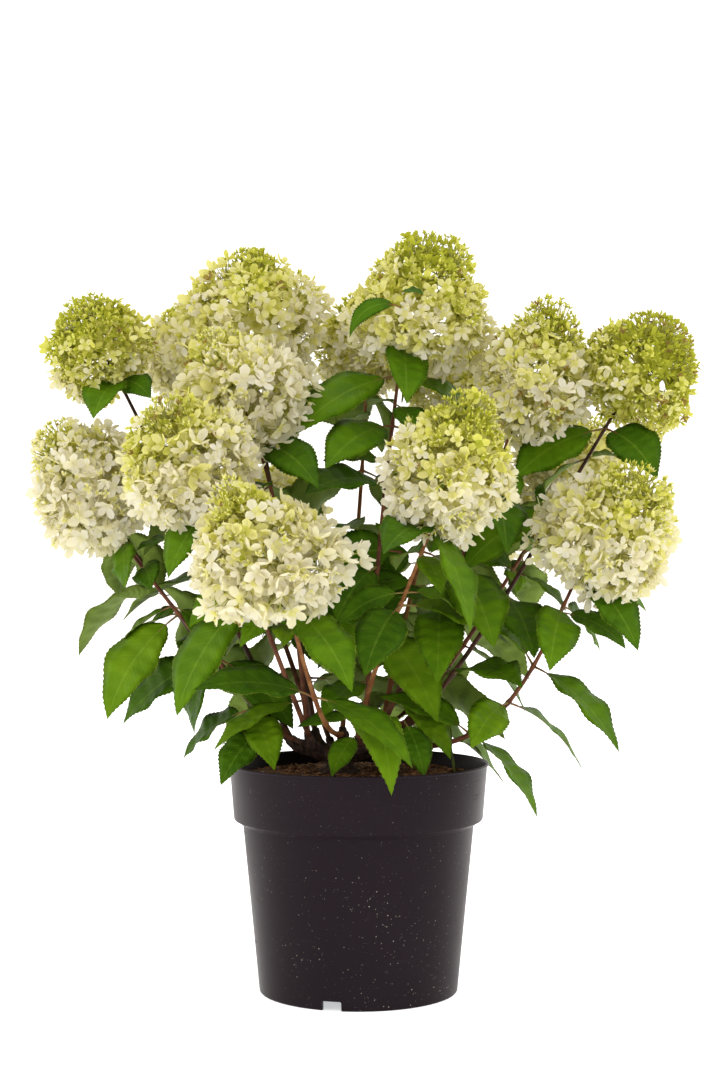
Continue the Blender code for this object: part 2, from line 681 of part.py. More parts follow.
def make_crown(group, finish, limbs):
    """The stump, with a spur that ends square under each limb."""
    points = [CROWN_CENTRE + CROWN_LEAN * height + UP * height for height, _ in CROWN_RINGS]
    points[1] = Vector((points[0].x, points[0].y, points[1].z))
    radii = [radius for _, radius in CROWN_RINGS]
    stump = as_mesh(tube("crown", points, radii, group, finish, CROWN_SIDES_DETAIL), group)
    foot = CROWN_CENTRE + UP * SPUR_FOOT_HEIGHT
    spurs = []
    for limb in limbs:
        way = limb.heading(0)
        tip = limb.at(0) - way * GAP
        away = Vector((tip.x - foot.x, tip.y - foot.y, 0)).normalized()
        points = [foot + away * SPUR_FOOT_REACH, tip - way * SPUR_KNEE, tip]
        thin = limb.radius / CANE_RADIUS
        radii = [radius * thin for radius in (SPUR_FOOT_RADIUS, SPUR_KNEE_RADIUS, SPUR_TIP_RADIUS)]
        spur = as_mesh(tube("spur", points, radii, group, finish), group)
        spurs.append(spur.data)
        bpy.data.objects.remove(spur)
    return join_into(stump, spurs)


class Stem:
    """One cane or shoot as laid out: its names, its limb, its flower head and how much of it is bare."""

    def __init__(self, name, row):
        self.flowers = "half" in row
        self.name = ("bloom_" if self.flowers else "shoot_") + name
        self.foot_name = "cane_" + name
        self.nodes = row["nodes"]
        self.head = Head(row["centre"], row["half"], row["lean"]) if self.flowers else None
        self.limb = cane_limb(row, self.head) if self.flowers else shoot_limb(row)
        first_leaves = row["nodes"][0][0]
        self.bare = first_leaves - FIRST_LEAF_ROOM / self.limb.length() if self.flowers else 0.0


def stand_up(stems, built):
    """What leaves and florets must keep clear of: the built objects, the limbs and the heads' middles."""
    bpy.context.view_layer.update()
    standing = Standing()
    for made in built:
        standing.add_object(made)
    for stem in stems:
        for owner, low, high in ((stem.foot_name, 0, stem.bare), (stem.name, stem.bare, 1)):
            if high > low:
                points, radii = stem.limb.stretch(low, high, CANE_STEPS)
                standing.add(owner, *ring_tube(points, [radius + LEAF_CLEARANCE for radius in radii]))
        if stem.flowers:
            standing.add(stem.name, *core_solid(stem.head))
    return standing


def make_mass(stem, florets, leaves, group, green, cream):
    """The upper cane with its leaves and its flower head fused on."""
    points, radii = stem.limb.stretch(stem.bare, 1, BLOOM_SEGMENTS if stem.flowers else CANE_SEGMENTS)
    if stem.flowers:
        points[0] = points[0] + stem.limb.heading(stem.bare) * GAP
    mass = as_mesh(tube(stem.name, points, radii, group, green), group)
    mass.data.materials.append(cream)
    blossom = [core_solid(stem.head)] + florets if stem.flowers else []
    pieces = []
    for slot, shapes in enumerate((leaves, blossom)):
        for shape in shapes:
            piece = mesh_of("piece", *shape)
            piece.materials.append(green)
            piece.materials.append(cream)
            piece.polygons.foreach_set("material_index", [slot] * len(piece.polygons))
            pieces.append(piece)
    join_into(mass, pieces)


def make_plant(group, pot, soil):
    wood = material("old wood", (0.075, 0.045, 0.035), 0.85)
    bark = material("cane bark", (0.190, 0.080, 0.055), 0.60)
    green = material("foliage", (0.080, 0.190, 0.030), 0.50)
    cream = material("florets", (0.720, 0.740, 0.480), 0.60)
    stems = [Stem(name, row) for rows in (CANES, SHOOTS) for name, row in rows.items()]
    crown = make_crown(group, wood, [stem.limb for stem in stems])
    standing = stand_up(stems, (pot, soil, crown))
    heads = {stem.name: stem.head for stem in stems if stem.flowers}
    florets = {
        name: grow_florets(name, head, standing, random.Random(f"{SEED} florets {name}"))
        for name, head in heads.items()
    }
    leaves = {}
    for stem in stems:
        chance = random.Random(f"{SEED} leaves {stem.name}")
        leaves[stem.name] = grow_leaves(stem.name, stem.limb, stem.nodes, heads, standing, chance)
    for stem in stems:
        if stem.bare > 0:
            points, radii = stem.limb.stretch(0, stem.bare, CANE_SEGMENTS)
            tube(stem.foot_name, points, radii, group, bark)
        make_mass(stem, florets.get(stem.name, []), leaves[stem.name], group, green, cream)


def main():
    for old in list(bpy.data.objects):
        bpy.data.objects.remove(old)
    group = bpy.data.collections.new("Hydrangea")
    cutters = bpy.data.collections.new("Cutters")
    bpy.context.scene.collection.children.link(group)
    bpy.context.scene.collection.children.link(cutters)
    make_plant(group, make_pot(group, cutters), make_soil(group))


main()
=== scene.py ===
"""Panicle hydrangea in a round nursery pot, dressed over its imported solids.

Metres, +Z up. The origin is the centre of the pot's underside, and -Y is the front.
"""

import math
import random

import bpy
import numpy as np
from mathutils import Matrix, Vector
from mathutils.bvhtree import BVHTree


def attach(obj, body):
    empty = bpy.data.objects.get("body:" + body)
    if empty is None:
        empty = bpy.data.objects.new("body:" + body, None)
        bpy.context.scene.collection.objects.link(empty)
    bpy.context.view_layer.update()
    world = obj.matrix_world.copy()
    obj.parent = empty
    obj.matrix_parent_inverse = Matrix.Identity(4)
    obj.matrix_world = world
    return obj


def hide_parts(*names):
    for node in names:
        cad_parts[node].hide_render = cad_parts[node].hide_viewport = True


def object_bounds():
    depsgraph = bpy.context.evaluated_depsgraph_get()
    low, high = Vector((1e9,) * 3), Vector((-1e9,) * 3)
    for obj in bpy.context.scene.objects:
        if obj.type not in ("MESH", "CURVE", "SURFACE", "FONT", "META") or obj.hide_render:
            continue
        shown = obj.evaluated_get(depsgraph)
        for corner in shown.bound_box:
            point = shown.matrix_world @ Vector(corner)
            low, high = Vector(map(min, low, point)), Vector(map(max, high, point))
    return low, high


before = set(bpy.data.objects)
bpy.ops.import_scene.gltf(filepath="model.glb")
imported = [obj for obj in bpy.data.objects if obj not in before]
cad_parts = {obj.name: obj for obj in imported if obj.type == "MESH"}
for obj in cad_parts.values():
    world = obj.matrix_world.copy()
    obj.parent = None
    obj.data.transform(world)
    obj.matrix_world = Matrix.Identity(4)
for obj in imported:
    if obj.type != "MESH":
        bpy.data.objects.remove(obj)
cad_box = [list(corner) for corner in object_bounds()]


# ---------------------------------------------------------------- nursery pot
# Injection-moulded black plastic 2 mm thick: a tapered wall, a wider collar under a rolled bead, and a
# raised floor inside a foot ring with three drain notches. Its skin is drawn ring on ring, from the
# floor's underside round the foot, up over the rim and down inside to the floor.

POT_HEIGHT = 0.210
RIM_RADIUS = 0.1195
BEAD = 0.0012  # the rolled rim's radius, and how far it stands out
BEAD_STEP = 30  # degrees
COLLAR_FOOT_RADIUS = 0.1150
COLLAR_FOOT_Z = 0.1585
SHOULDER_RADIUS = 0.1066
SHOULDER_Z = 0.153
FOOT_RADIUS = 0.0915
FOOT_EDGE = 0.002
FOOT_RING = 0.0045
WALL_RINGS = 8
POT_WALL = 0.002
FLOOR_UNDERSIDE = 0.0095
FLOOR_TOP = 0.012
POT_SIDES = 144
NOTCH_SIZE = (0.024, 0.0176, 0.017)  # depth, width and twice the height
NOTCH_ROUNDING = 0.0012
NOTCH_ANGLES = (-105, 15, 135)
PLASTIC = (0.0076, 0.0055, 0.0074, 1)
PLASTIC_WORN = (0.0130, 0.0096, 0.0120, 1)
DUST = (0.55, 0.50, 0.42, 1)


class Shade:
    """One socket of a material's nodes. Arithmetic on it adds Math nodes."""

    def __init__(self, tree, socket):
        self.tree, self.socket = tree, socket

    def node(self, kind, settings, sockets, out=0):
        """Adds a node: its settings, then its sockets by name or number, each a Shade or a value."""
        made = self.tree.nodes.new("ShaderNode" + kind)
        for name, value in settings.items():
            setattr(made, name, value)
        for key, value in sockets.items():
            if isinstance(value, Shade):
                self.tree.links.new(value.socket, made.inputs[key])
            else:
                made.inputs[key].default_value = value
        return Shade(self.tree, made.outputs[out])

    def maths(self, operation, first, second=0.0):
        return self.node("Math", {"operation": operation}, {0: first, 1: second})

    def __add__(self, other):
        return self.maths("ADD", self, other)

    def __sub__(self, other):
        return self.maths("SUBTRACT", self, other)

    def __mul__(self, other):
        return self.maths("MULTIPLY", self, other)

    def noise(self, scale, detail=3.0):
        return self.node("TexNoise", {}, {"Vector": self, "Scale": scale, "Detail": detail})

    def grains(self, scale):
        """The distance to the nearest of many scattered points."""
        return self.node("TexVoronoi", {"feature": "F1"}, {"Vector": self, "Scale": scale})

    def along(self, axis):
        """One coordinate of a place: 0 for x, 1 for y, 2 for z."""
        return self.node("SeparateXYZ", {}, {"Vector": self}, out=axis)

    def stretched(self, x, y, z):
        return self.node("Mapping", {}, {"Vector": self, "Scale": (x, y, z)})

    def step(self, low, high):
        """0 under low, 1 over high, and smooth between. With low over high it falls instead."""
        sockets = {"Value": self, "From Min": low, "From Max": high}
        return self.node("MapRange", {"interpolation_type": "SMOOTHSTEP"}, sockets)

    def tint(self, under, over):
        """The first colour where this mask is 0 and the second where it is 1."""
        return self.node("Mix", {"data_type": "RGBA"}, {0: self, 6: under, 7: over}, out=2)


def new_finish(name, colour, roughness, **plain):
    """A material with its plain sockets set, and the Object coordinates of its pattern."""
    made = bpy.data.materials.new(name)
    made.use_nodes = True
    shader = made.node_tree.nodes["Principled BSDF"]
    for socket, value in {"Base Color": colour, "Roughness": roughness, **plain}.items():
        shader.inputs[socket.replace("_", " ")].default_value = value
    return made, Shade(made.node_tree, None).node("TexCoord", {}, {}, out="Object")


def feed(finish, socket, shade):
    shader = finish.node_tree.nodes["Principled BSDF"]
    finish.node_tree.links.new(shade.socket, shader.inputs[socket])


def relief(finish, height, depth, strength=1.0):
    """Feeds a height in shares of a depth in metres to the finish's normal."""
    sockets = {"Height": height, "Distance": depth, "Strength": strength}
    feed(finish, "Normal", height.node("Bump", {}, sockets))


def pick(*objects):
    """Selects these objects alone, and makes the last one active."""
    bpy.ops.object.select_all(action="DESELECT")
    for each in objects:
        each.select_set(True)
        bpy.context.view_layer.objects.active = each


def draw_rings(name, sides, rings):
    """A closed round skin: a disc on the first ring, drawn out over the others to one on the last."""
    pick()
    radius, height = rings[0]
    bpy.ops.mesh.primitive_circle_add(
        vertices=sides, radius=radius, fill_type="NGON", location=(0, 0, height))
    made = bpy.context.object
    made.name = made.data.name = name
    bpy.ops.object.transform_apply(location=True, rotation=True, scale=True)
    bpy.ops.object.mode_set(mode="EDIT")
    bpy.ops.mesh.select_mode(type="FACE")
    bpy.ops.mesh.select_all(action="SELECT")
    for new_radius, new_height in rings[1:]:
        grow = new_radius / radius
        bpy.ops.mesh.extrude_region_move()
        bpy.ops.transform.resize(value=(grow, grow, 1), center_override=(0, 0, height))
        bpy.ops.transform.translate(value=(0, 0, new_height - height))
        radius, height = new_radius, new_height
    bpy.ops.mesh.select_all(action="SELECT")
    bpy.ops.mesh.normals_make_consistent(inside=False)
    bpy.ops.object.mode_set(mode="OBJECT")
    return made


def apply_modifier(made, kind, **settings):
    """Adds one modifier to the object, with its settings, and applies it."""
    pick(made)
    modifier = made.modifiers.new(kind.lower(), kind)
    for name, value in settings.items():
        setattr(modifier, name, value)
    bpy.ops.object.modifier_apply(modifier=modifier.name)


def shade_smooth(made, degrees):
    pick(made)
    bpy.ops.object.shade_smooth_by_angle(angle=math.radians(degrees))


turns = [math.radians(angle) for angle in range(-90, 180, BEAD_STEP)]
bead = [(RIM_RADIUS + BEAD * math.cos(a), POT_HEIGHT - BEAD + BEAD * math.sin(a)) for a in turns]
taper = [
    (FOOT_RADIUS + (SHOULDER_RADIUS - FOOT_RADIUS) * k / WALL_RINGS,
     FOOT_EDGE + (SHOULDER_Z - FOOT_EDGE) * k / WALL_RINGS)
    for k in range(WALL_RINGS)
]
pot = draw_rings("pot_shell", POT_SIDES, [
    (FOOT_RADIUS - FOOT_RING, FLOOR_UNDERSIDE),
    (FOOT_RADIUS - FOOT_RING, 0.0),
    (FOOT_RADIUS - 0.0010, 0.0),
    (FOOT_RADIUS - 0.0002, 0.0008),
    *taper,
    (SHOULDER_RADIUS, SHOULDER_Z),
    (COLLAR_FOOT_RADIUS - 0.0028, COLLAR_FOOT_Z - 0.0014),
    (COLLAR_FOOT_RADIUS - 0.0006, COLLAR_FOOT_Z - 0.0004),
    (COLLAR_FOOT_RADIUS + 0.0001, COLLAR_FOOT_Z + 0.0012),
    (RIM_RADIUS - 0.0004, POT_HEIGHT - 2 * BEAD),
    *bead,
    (RIM_RADIUS - POT_WALL + 0.0003, POT_HEIGHT - 0.0022),
    (COLLAR_FOOT_RADIUS - POT_WALL, COLLAR_FOOT_Z + POT_WALL),
    (SHOULDER_RADIUS - POT_WALL, SHOULDER_Z),
    (FOOT_RADIUS - POT_WALL, FLOOR_TOP),
])
pick()
bpy.ops.mesh.primitive_cube_add(size=1)
notch = bpy.context.object
notch.scale = NOTCH_SIZE
bpy.ops.object.transform_apply(location=True, rotation=True, scale=True)
apply_modifier(notch, "BEVEL", width=NOTCH_ROUNDING, segments=3)
for angle in map(math.radians, NOTCH_ANGLES):
    notch.rotation_euler = (0, 0, angle)
    notch.location = (FOOT_RADIUS * math.cos(angle), FOOT_RADIUS * math.sin(angle), 0)
    apply_modifier(pot, "BOOLEAN", operation="DIFFERENCE", object=notch)
bpy.data.objects.remove(notch)
shade_smooth(pot, 30)

black_plastic, place = new_finish(
    "black plastic", PLASTIC, 0.45, Specular_IOR_Level=0.08, Specular_Tint=(1.0, 0.75, 0.85, 1),
    Sheen_Weight=0.02, Sheen_Tint=(1.0, 0.55, 0.60, 1))
scuffs = place.stretched(30, 30, 260).noise(1.0, 5.0).step(0.60, 0.72)
scuffs = scuffs * place.noise(22.0).step(0.45, 0.62)
handled = place.noise(9.0, 4.0).step(0.35, 0.75)
patches = (place.noise(16.0, 2.0) + (place.along(0) - place.along(2)) * 1.1).step(0.34, 0.56)
specks = place.grains(250.0).step(0.16, 0.08) * place.noise(150.0, 1.0).step(0.57, 0.66)
fine_specks = place.grains(600.0).step(0.22, 0.12) * place.noise(310.0, 1.0).step(0.57, 0.67)
dusty = specks * (patches * 0.6 + 0.4) + fine_specks * (patches * 0.8 + 0.2)
worn = (handled * 0.35 + scuffs * 0.5).tint(PLASTIC, PLASTIC_WORN)
feed(black_plastic, "Base Color", (dusty * 0.55).tint(worn, DUST))
feed(black_plastic, "Roughness", handled * 0.10 + scuffs * 0.12 + dusty * 0.4 + 0.34)
relief(black_plastic, place.noise(420.0, 2.0) * 0.4 + dusty * 0.6, 0.0002, 0.35)
pot.data.materials.append(black_plastic)
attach(pot, "root")
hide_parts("pot")


# ---------------------------------------------------------------- potting mix
# Moist bark and peat, pressed level round the crown and a little lower at the wall. The ball is drawn in
# rings inside the pot and roughened on top, and loose bark, fibre and a few white grains lie on it.

SOIL_LEVEL = 0.1995
SOIL_LEVEL_RADIUS = 0.062
SOIL_WALL_LEVEL = 0.196
SOIL_GAP = 0.0003
SOIL_SIDES = 108
SOIL_RINGS = 22
SOIL_WAVES = 16  # how many waves of random pitch make up its roughness
SOIL_PITCHES = (60, 420)  # of those waves, in radians per metre
SOIL_ROUGHNESS = 0.0006
SOIL_LOW, SOIL_HIGH = -0.0022, 0.0016  # the deepest dip and the highest lump
SOIL_EDGE = 0.006  # level along the wall
WALL_ROOM = 0.004  # the least distance from the pot's wall to a bit of bark's middle
# Each kind that lies on the mix: how many, and the least and most of half its length, width and height.
LITTER = (
    (1500, ((0.0012, 0.0038), (0.0008, 0.0022), (0.0004, 0.0012))),  # bark
    (380, ((0.0030, 0.0085), (0.0003, 0.0007), (0.0003, 0.0005))),  # fibre
    (26, ((0.0008, 0.0018), (0.0008, 0.0016), (0.0008, 0.0014))),  # white grains
)
LITTER_LIFT = 0.0016  # the most that a bit lies above the smooth soil
LITTER_TILTS = (0.35, 0.22)  # how far, in radians, bits lean sideways and endways
CHIP = (
    (-1, -0.6, 0), (-0.3, -1, 0.1), (0.9, -0.7, 0), (1.1, 0.5, 0.1),
    (0.1, 1, 0), (-0.9, 0.7, 0.1), (0, 0, 0.8), (0.1, 0, -0.7),
)
PEAT_COLOURS = ((0.115, 0.052, 0.024, 1), (0.330, 0.145, 0.062, 1), (0.500, 0.250, 0.120, 1))
PERLITE = (0.70, 0.66, 0.58, 1)


def inner_radius(z):
    """Radius of the pot's inner wall at a height."""
    if z <= SHOULDER_Z:
        share = (z - FLOOR_TOP) / (SHOULDER_Z - FLOOR_TOP)
        return FOOT_RADIUS - POT_WALL + share * (SHOULDER_RADIUS - FOOT_RADIUS)
    step_top = COLLAR_FOOT_Z + POT_WALL
    if z <= step_top:
        share = (z - SHOULDER_Z) / (step_top - SHOULDER_Z)
        return SHOULDER_RADIUS - POT_WALL + share * (COLLAR_FOOT_RADIUS - SHOULDER_RADIUS)
    share = (z - step_top) / (POT_HEIGHT - step_top)
    return COLLAR_FOOT_RADIUS - POT_WALL + share * (RIM_RADIUS - COLLAR_FOOT_RADIUS)


def soil_height(radius):
    """Height of the smooth soil at a distance from the pot's axis."""
    wall = inner_radius(SOIL_WALL_LEVEL)
    share = max(0.0, radius - SOIL_LEVEL_RADIUS) / (wall - SOIL_LEVEL_RADIUS)
    return SOIL_LEVEL + (SOIL_WALL_LEVEL - SOIL_LEVEL) * share


def joined(name, points, faces, finishes, slots=None, uv=None):
    """One object of many small shapes, from its points and faces, with a finish for each face."""
    mesh = bpy.data.meshes.new(name)
    mesh.from_pydata(np.asarray(points, dtype=np.float32).reshape(-1, 3), [], faces)
    for finish in finishes:
        mesh.materials.append(finish)
    if slots is not None:
        mesh.polygons.foreach_set("material_index", np.asarray(slots, dtype=np.int32))
    if uv is not None:
        layer = mesh.uv_layers.new(name="uv")
        corners = np.empty(len(mesh.loops), dtype=np.int32)
        mesh.loops.foreach_get("vertex_index", corners)
        layer.data.foreach_set("uv", np.asarray(uv, dtype=np.float32)[corners].ravel())
    mesh.shade_smooth()
    mesh.validate()
    made = bpy.data.objects.new(name, mesh)
    bpy.context.scene.collection.objects.link(made)
    return made


def strewn(shape_points, shape_faces, turns, places, first=0):
    """Points and faces of one shape set down many times, each with its own turn and size."""
    points = np.einsum("nij,mj->nmi", np.asarray(turns), np.asarray(shape_points))
    points += np.asarray(places)[:, None]
    count, each = points.shape[:2]
    starts = first + np.arange(count) * each
    faces = [tuple(int(start + i) for i in face) for start in starts for face in shape_faces]
    return points.reshape(-1, 3), faces


levels = FLOOR_TOP + SOIL_GAP, SHOULDER_Z, COLLAR_FOOT_Z + POT_WALL, SOIL_WALL_LEVEL
side = [(inner_radius(z) - SOIL_GAP, z) for z in levels]
wall = inner_radius(SOIL_WALL_LEVEL) - SOIL_GAP
across = [wall * (1 - k / SOIL_RINGS) + 0.002 for k in range(1, SOIL_RINGS + 1)]
soil = draw_rings("potting_mix", SOIL_SIDES, side + [(r, soil_height(r)) for r in across])
lumps = random.Random("potting mix")
waves = [
    (lumps.uniform(*SOIL_PITCHES), lumps.uniform(0, math.tau), lumps.uniform(0, math.tau))
    for _ in range(SOIL_WAVES)
]
for vert in soil.data.vertices:
    x, y, z = vert.co
    if z > SOIL_WALL_LEVEL - 0.0001:
        rough = sum(
            math.sin(pitch * (x * math.cos(way) + y * math.sin(way)) + start)
            / (pitch / SOIL_PITCHES[0]) ** 0.5
            for pitch, way, start in waves
        )
        edge = max(min(1.0, (wall - math.hypot(x, y)) / SOIL_EDGE), 0.0)
        vert.co.z += max(SOIL_LOW, min(SOIL_HIGH, SOIL_ROUGHNESS * rough)) * edge
shade_smooth(soil, 50)

peat, place = new_finish("bark and peat", PEAT_COLOURS[0], 0.95, Specular_IOR_Level=0.2)
fibre = place.noise(260.0, 6.0)
feed(peat, "Base Color", fibre.step(0.42, 0.68).tint(PEAT_COLOURS[0], PEAT_COLOURS[1]))
relief(peat, fibre * 0.6 + place.grains(330.0) * 0.8, 0.0015, 0.9)
soil.data.materials.append(peat)
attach(soil, "root")
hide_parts("potting_soil")

bark_bits = []
for k, colour in enumerate(PEAT_COLOURS):
    finish, place = new_finish(f"bark bits {k + 1}", colour, 0.9, Specular_IOR_Level=0.25)
    darker = tuple(c * 0.5 for c in colour[:3]) + (1,)
    feed(finish, "Base Color", place.noise(500.0, 4.0).step(0.35, 0.65).tint(darker, colour))
    bark_bits.append(finish)
perlite, place = new_finish("white grains", PERLITE, 0.9)
relief(perlite, place.noise(900.0, 2.0), 0.0003)
bark_bits.append(perlite)

chip_sides = [(i, (i + 1) % 6, 6) for i in range(6)] + [((i + 1) % 6, i, 7) for i in range(6)]
chip_points, chip_faces, chip_slots = [], [], []
for kind, (count, sizes) in enumerate(LITTER):
    turns, places = [], []
    for _ in range(count):
        radius = (wall - WALL_ROOM) * math.sqrt(lumps.random())
        angle = lumps.uniform(0, math.tau)
        lying = Matrix.Rotation(lumps.uniform(0, math.tau), 3, "Z")
        lying = lying @ Matrix.Rotation(lumps.gauss(0, LITTER_TILTS[0]), 3, "X")
        lying = lying @ Matrix.Rotation(lumps.gauss(0, LITTER_TILTS[1]), 3, "Y")
        turns.append(np.array(lying) * [lumps.uniform(*size) for size in sizes])
        height = soil_height(radius) + lumps.uniform(0.0, LITTER_LIFT)
        places.append((radius * math.cos(angle), radius * math.sin(angle), height))
        chip_slots += [3 if kind == 2 else lumps.choice((0, 0, 1, 1, 1, 2))] * len(chip_sides)
    points, faces = strewn(CHIP, chip_sides, turns, places, len(chip_points))
    chip_points += points.tolist()
    chip_faces += faces
chips = joined("bark_chips", chip_points, chip_faces, bark_bits, chip_slots)
shade_smooth(chips, 40)
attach(chips, "root")


# ---------------------------------------------------------------- woody crown
# Old brown wood: a flared stump pressed into the mix, with a forked spur for every cane. Stump and
# spurs are fused to one skin and roughened with furrows of bark.

UP = Vector((0, 0, 1))
CROWN_CENTRE = Vector((-0.018, 0.0, SOIL_LEVEL + 0.0003))
CROWN_RINGS = (
    (0.0200, -0.0030), (0.0190, 0.0022), (0.0140, 0.0052),
    (0.0110, 0.012), (0.0090, 0.020), (0.0060, 0.026),
)
CROWN_SIDES = 28
CROWN_TILT = (0.10, -0.05)
SPUR_FOOT_HEIGHT = 0.013
SPUR_FOOT_REACH = 0.006
SPUR_KNEE = 0.010
SPUR_SIDES = 12
SPUR_RADII = (0.0058, 0.0050, 0.0046, 0.0040)
SPUR_RISE = 0.052
SPUR_FALL = 0.45
CANE_RADIUS = 0.0040
CANE_TIP_RADIUS = 0.0021
CANE_STEPS = 14
BUTT = 0.003  # the square end of a cane's stretch
BARK_VOXEL = 0.0013
FURROW_SIZE = 0.006
FURROW_DEPTH = 0.0022
SHOOT_RADIUS = 0.0028
SHOOT_TIP_RADIUS = 0.0017
CANE_SLIMMING = 0.64  # the wood inside a cane's solid, which keeps room for its swollen nodes
FIRST_LEAF_ROOM = 0.014
PEDUNCLE_DEPTH = 0.9
PEDUNCLE_FOOT = 1.6
HEAD_TAPER = 0.15
OLD_WOOD = ((0.024, 0.014, 0.011, 1), (0.085, 0.045, 0.032, 1))


def pairs(heading, *shares):
    """Opposite pairs of leaves, each a quarter turn on from the last. The highest ones are smaller."""
    nodes = []
    for k, share in enumerate(shares):
        facing, droop, size = heading + 90 * k, 22 + 30 * share, 1.0 if share < 0.8 else 0.8
        nodes.append((share, (facing, droop, size), (facing + 180, droop, size)))
    return tuple(nodes)


